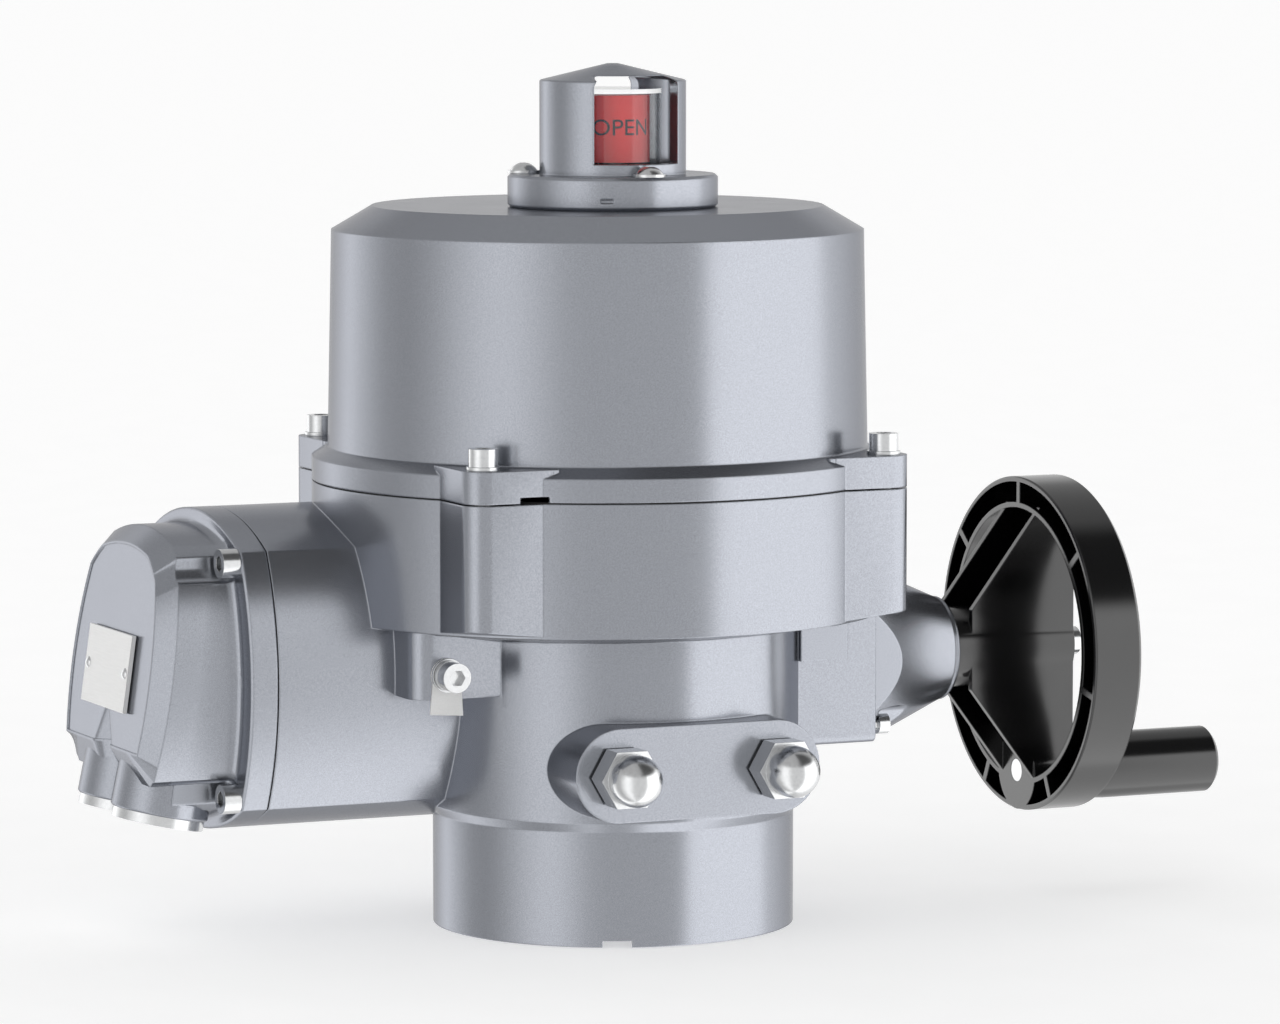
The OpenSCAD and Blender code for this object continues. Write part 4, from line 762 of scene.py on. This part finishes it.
class ACTUATOR_OT_stage(bpy.types.Operator):
    """Camera of the photograph, soft studio light and a plain pale floor"""

    bl_idname = "actuator.stage"
    bl_label = "Stage"

    def execute(self, context):
        scene = context.scene
        lens = bpy.data.cameras.new("photo_camera")
        lens.lens = LENS_MM
        lens.sensor_width = SENSOR_MM
        # Far enough to reach the floor's rim, in metres
        lens.clip_end = 200
        camera = bpy.data.objects.new("photo_camera", lens)
        turn = Matrix((CAMERA_RIGHT, CAMERA_UP, [-v for v in CAMERA_VIEW])).transposed()
        camera.matrix_world = Matrix.Translation(CAMERA_AT) @ turn.to_4x4()
        scene.collection.objects.link(camera)
        scene.camera = camera
        scene.view_settings.view_transform = "Standard"
        self.world(scene)
        self.floor(scene)
        return {"FINISHED"}

    def world(self, scene):
        """Studio walls by direction: a sharp-edged light right, a soft one left, a rim light behind left."""
        world = bpy.data.worlds.new("studio")
        world.use_nodes = True
        scene.world = world
        tree = world.node_tree
        tree.nodes.clear()
        direction = add_node(tree, "ShaderNodeTexCoord").outputs["Generated"]
        ahead, right = (-CAMERA_VIEW[0], -CAMERA_VIEW[1], 0.0), CAMERA_RIGHT
        front = add_node(tree, "ShaderNodeVectorMath", {1: ahead}, {0: direction}, operation="DOT_PRODUCT")
        side = add_node(tree, "ShaderNodeVectorMath", {1: right}, {0: direction}, operation="DOT_PRODUCT")
        angle = add_node(tree, "ShaderNodeMath", links={0: side.outputs["Value"], 1: front.outputs["Value"]},
                         operation="ARCTAN2")
        place = add_node(tree, "ShaderNodeMapRange",
                         {"From Min": -math.pi, "From Max": math.pi}, {"Value": angle.outputs["Value"]})
        brightest = 2.5
        walls = add_node(tree, "ShaderNodeValToRGB", links={"Fac": place.outputs["Result"]})
        set_lights(walls, [
            (-180, 0.82), (-160, 0.95), (-146, 1.5), (-133, 2.05), (-120, 1.4), (-103, 0.76), (-88, 0.64),
            (-75, 0.84), (-60, 1.28), (-48, 1.58), (-36, 1.62), (-26, 1.36), (-14, 1.0), (-4, 0.92),
            (36, 0.95), (45, 0.98), (50, 2.2), (108, 2.2), (116, 1.5), (140, 1.2), (180, 0.82)], brightest)
        # Dark over the light on the right, which the upper half of the handwheel's rim mirrors
        ceiling = add_node(tree, "ShaderNodeValToRGB", links={"Fac": place.outputs["Result"]})
        set_lights(ceiling, [(-180, 0.6), (15, 0.6), (40, 0.1), (100, 0.1), (125, 0.6), (180, 0.6)],
                   brightest)
        # The walls end where a direction's upward part is between these two
        wall_end, ceiling_start = 0.36, 0.52
        height = add_node(tree, "ShaderNodeSeparateXYZ", links={"Vector": direction}).outputs["Z"]
        up = add_node(tree, "ShaderNodeMapRange", {"From Min": wall_end, "From Max": ceiling_start},
                      {"Value": height}, interpolation_type="SMOOTHSTEP").outputs["Result"]
        room = add_node(tree, "ShaderNodeMix", data_type="RGBA")
        factor, below, above, colour = room.inputs[0], room.inputs[6], room.inputs[7], room.outputs[2]
        tree.links.new(up, factor)
        tree.links.new(walls.outputs["Color"], below)
        tree.links.new(ceiling.outputs["Color"], above)
        studio = add_node(tree, "ShaderNodeBackground", {"Strength": brightest}, {"Color": colour})
        white = add_node(tree, "ShaderNodeBackground", {"Color": (1.0, 1.0, 1.0, 1.0), "Strength": 1.0})
        path = add_node(tree, "ShaderNodeLightPath").outputs
        seen = any_of(tree, path["Is Camera Ray"], path["Is Transmission Ray"])
        mix = add_node(tree, "ShaderNodeMixShader", links={
            0: seen, 1: studio.outputs["Background"], 2: white.outputs["Background"]})
        add_node(tree, "ShaderNodeOutputWorld", links={"Surface": mix.outputs["Shader"]})

    def floor(self, scene):
        """Flat round floor in rings of four-sided faces round a middle of triangles, just under the foot."""
        radii, count, drop = (0.5, 2.0, 8.0, 40.0), 64, 0.4 * MM
        cos, sin = directions(count)
        rings = np.array(radii)[:, None]
        x, y = rings * cos, rings * sin
        points = np.vstack((np.column_stack((x.ravel(), y.ravel(), np.zeros(x.size))), [[0, 0, 0]]))
        k = np.arange(count)
        after = (k + 1) % count
        quads = [np.column_stack((r + k, r + count + k, r + count + after, r + after))
                 for r in range(0, (len(radii) - 1) * count, count)]
        middle = np.column_stack((k, after, np.full(count, len(radii) * count)))
        mesh = bpy.data.meshes.new("floor")
        mesh.from_pydata(points.tolist(), [], np.vstack(quads).tolist() + middle.tolist())
        mesh.materials.append(self.floor_paint())
        floor = bpy.data.objects.new("floor", mesh)
        floor.location.z = -drop
        scene.collection.objects.link(floor)
        # Upright faces would mirror the bare floor instead of the studio's walls
        floor.visible_glossy = False

    def floor_paint(self):
        """Pale matt paint that glows a little for the camera, so that only shadows show on it."""
        glow_strength = 0.45
        material = bpy.data.materials.new("pale_floor")
        material.use_nodes = True
        tree = material.node_tree
        tree.nodes.clear()
        coords = add_node(tree, "ShaderNodeTexCoord").outputs["Object"]
        grain = add_node(tree, "ShaderNodeTexNoise", {"Scale": 30.0}, {"Vector": coords})
        ramp = add_node(tree, "ShaderNodeValToRGB", links={"Fac": grain.outputs["Fac"]})
        set_ramp(ramp, [(0.3, linear("#E6E6E6")), (0.7, linear("#E9E9E9"))])
        paint = add_node(tree, "ShaderNodeBsdfDiffuse", links={"Color": ramp.outputs["Color"]})
        path = add_node(tree, "ShaderNodeLightPath").outputs
        seen = any_of(tree, path["Is Camera Ray"], path["Is Glossy Ray"], path["Is Transmission Ray"])
        lift = add_node(tree, "ShaderNodeMath", {1: glow_strength}, {0: seen}, operation="MULTIPLY")
        glow = add_node(tree, "ShaderNodeEmission", {"Color": (1.0, 1.0, 1.0, 1.0)},
                        {"Strength": lift.outputs["Value"]})
        both = add_node(tree, "ShaderNodeAddShader",
                        links={0: paint.outputs["BSDF"], 1: glow.outputs["Emission"]})
        add_node(tree, "ShaderNodeOutputMaterial", links={"Surface": both.outputs["Shader"]})
        return material


class ACTUATOR_PT_panel(bpy.types.Panel):
    """Sidebar panel with the finishes and the pieces"""

    bl_idname = "ACTUATOR_PT_panel"
    bl_label = "Electric valve actuator"
    bl_space_type = "VIEW_3D"
    bl_region_type = "UI"
    bl_category = "Actuator"

    def draw(self, context):
        for group in (context.scene.actuator_finish, context.scene.actuator_lettering):
            for name in group.bl_rna.properties.keys():
                if name not in ("rna_type", "name"):
                    self.layout.prop(group, name)
        for operator in OPERATORS:
            self.layout.operator(operator.bl_idname)


OPERATORS = (ACTUATOR_OT_castings, ACTUATOR_OT_fasteners, ACTUATOR_OT_hand_drive, ACTUATOR_OT_indicator,
             ACTUATOR_OT_plates, ACTUATOR_OT_seals, ACTUATOR_OT_works, ACTUATOR_OT_stage)
CLASSES = (ActuatorFinish, ActuatorLettering, *OPERATORS, ACTUATOR_PT_panel)


def register():
    for cls in CLASSES:
        bpy.utils.register_class(cls)
    bpy.types.Scene.actuator_finish = PointerProperty(type=ActuatorFinish)
    bpy.types.Scene.actuator_lettering = PointerProperty(type=ActuatorLettering)


def unregister():
    del bpy.types.Scene.actuator_lettering
    del bpy.types.Scene.actuator_finish
    for cls in reversed(CLASSES):
        bpy.utils.unregister_class(cls)


def main():
    """Run every operator in order."""
    register()
    bpy.ops.actuator.castings()
    bpy.ops.actuator.fasteners()
    bpy.ops.actuator.hand_drive()
    bpy.ops.actuator.indicator()
    bpy.ops.actuator.plates()
    bpy.ops.actuator.seals()
    bpy.ops.actuator.works()
    bpy.ops.actuator.stage()
    bpy.context.view_layer.update()


if __name__ == "__main__":
    main()
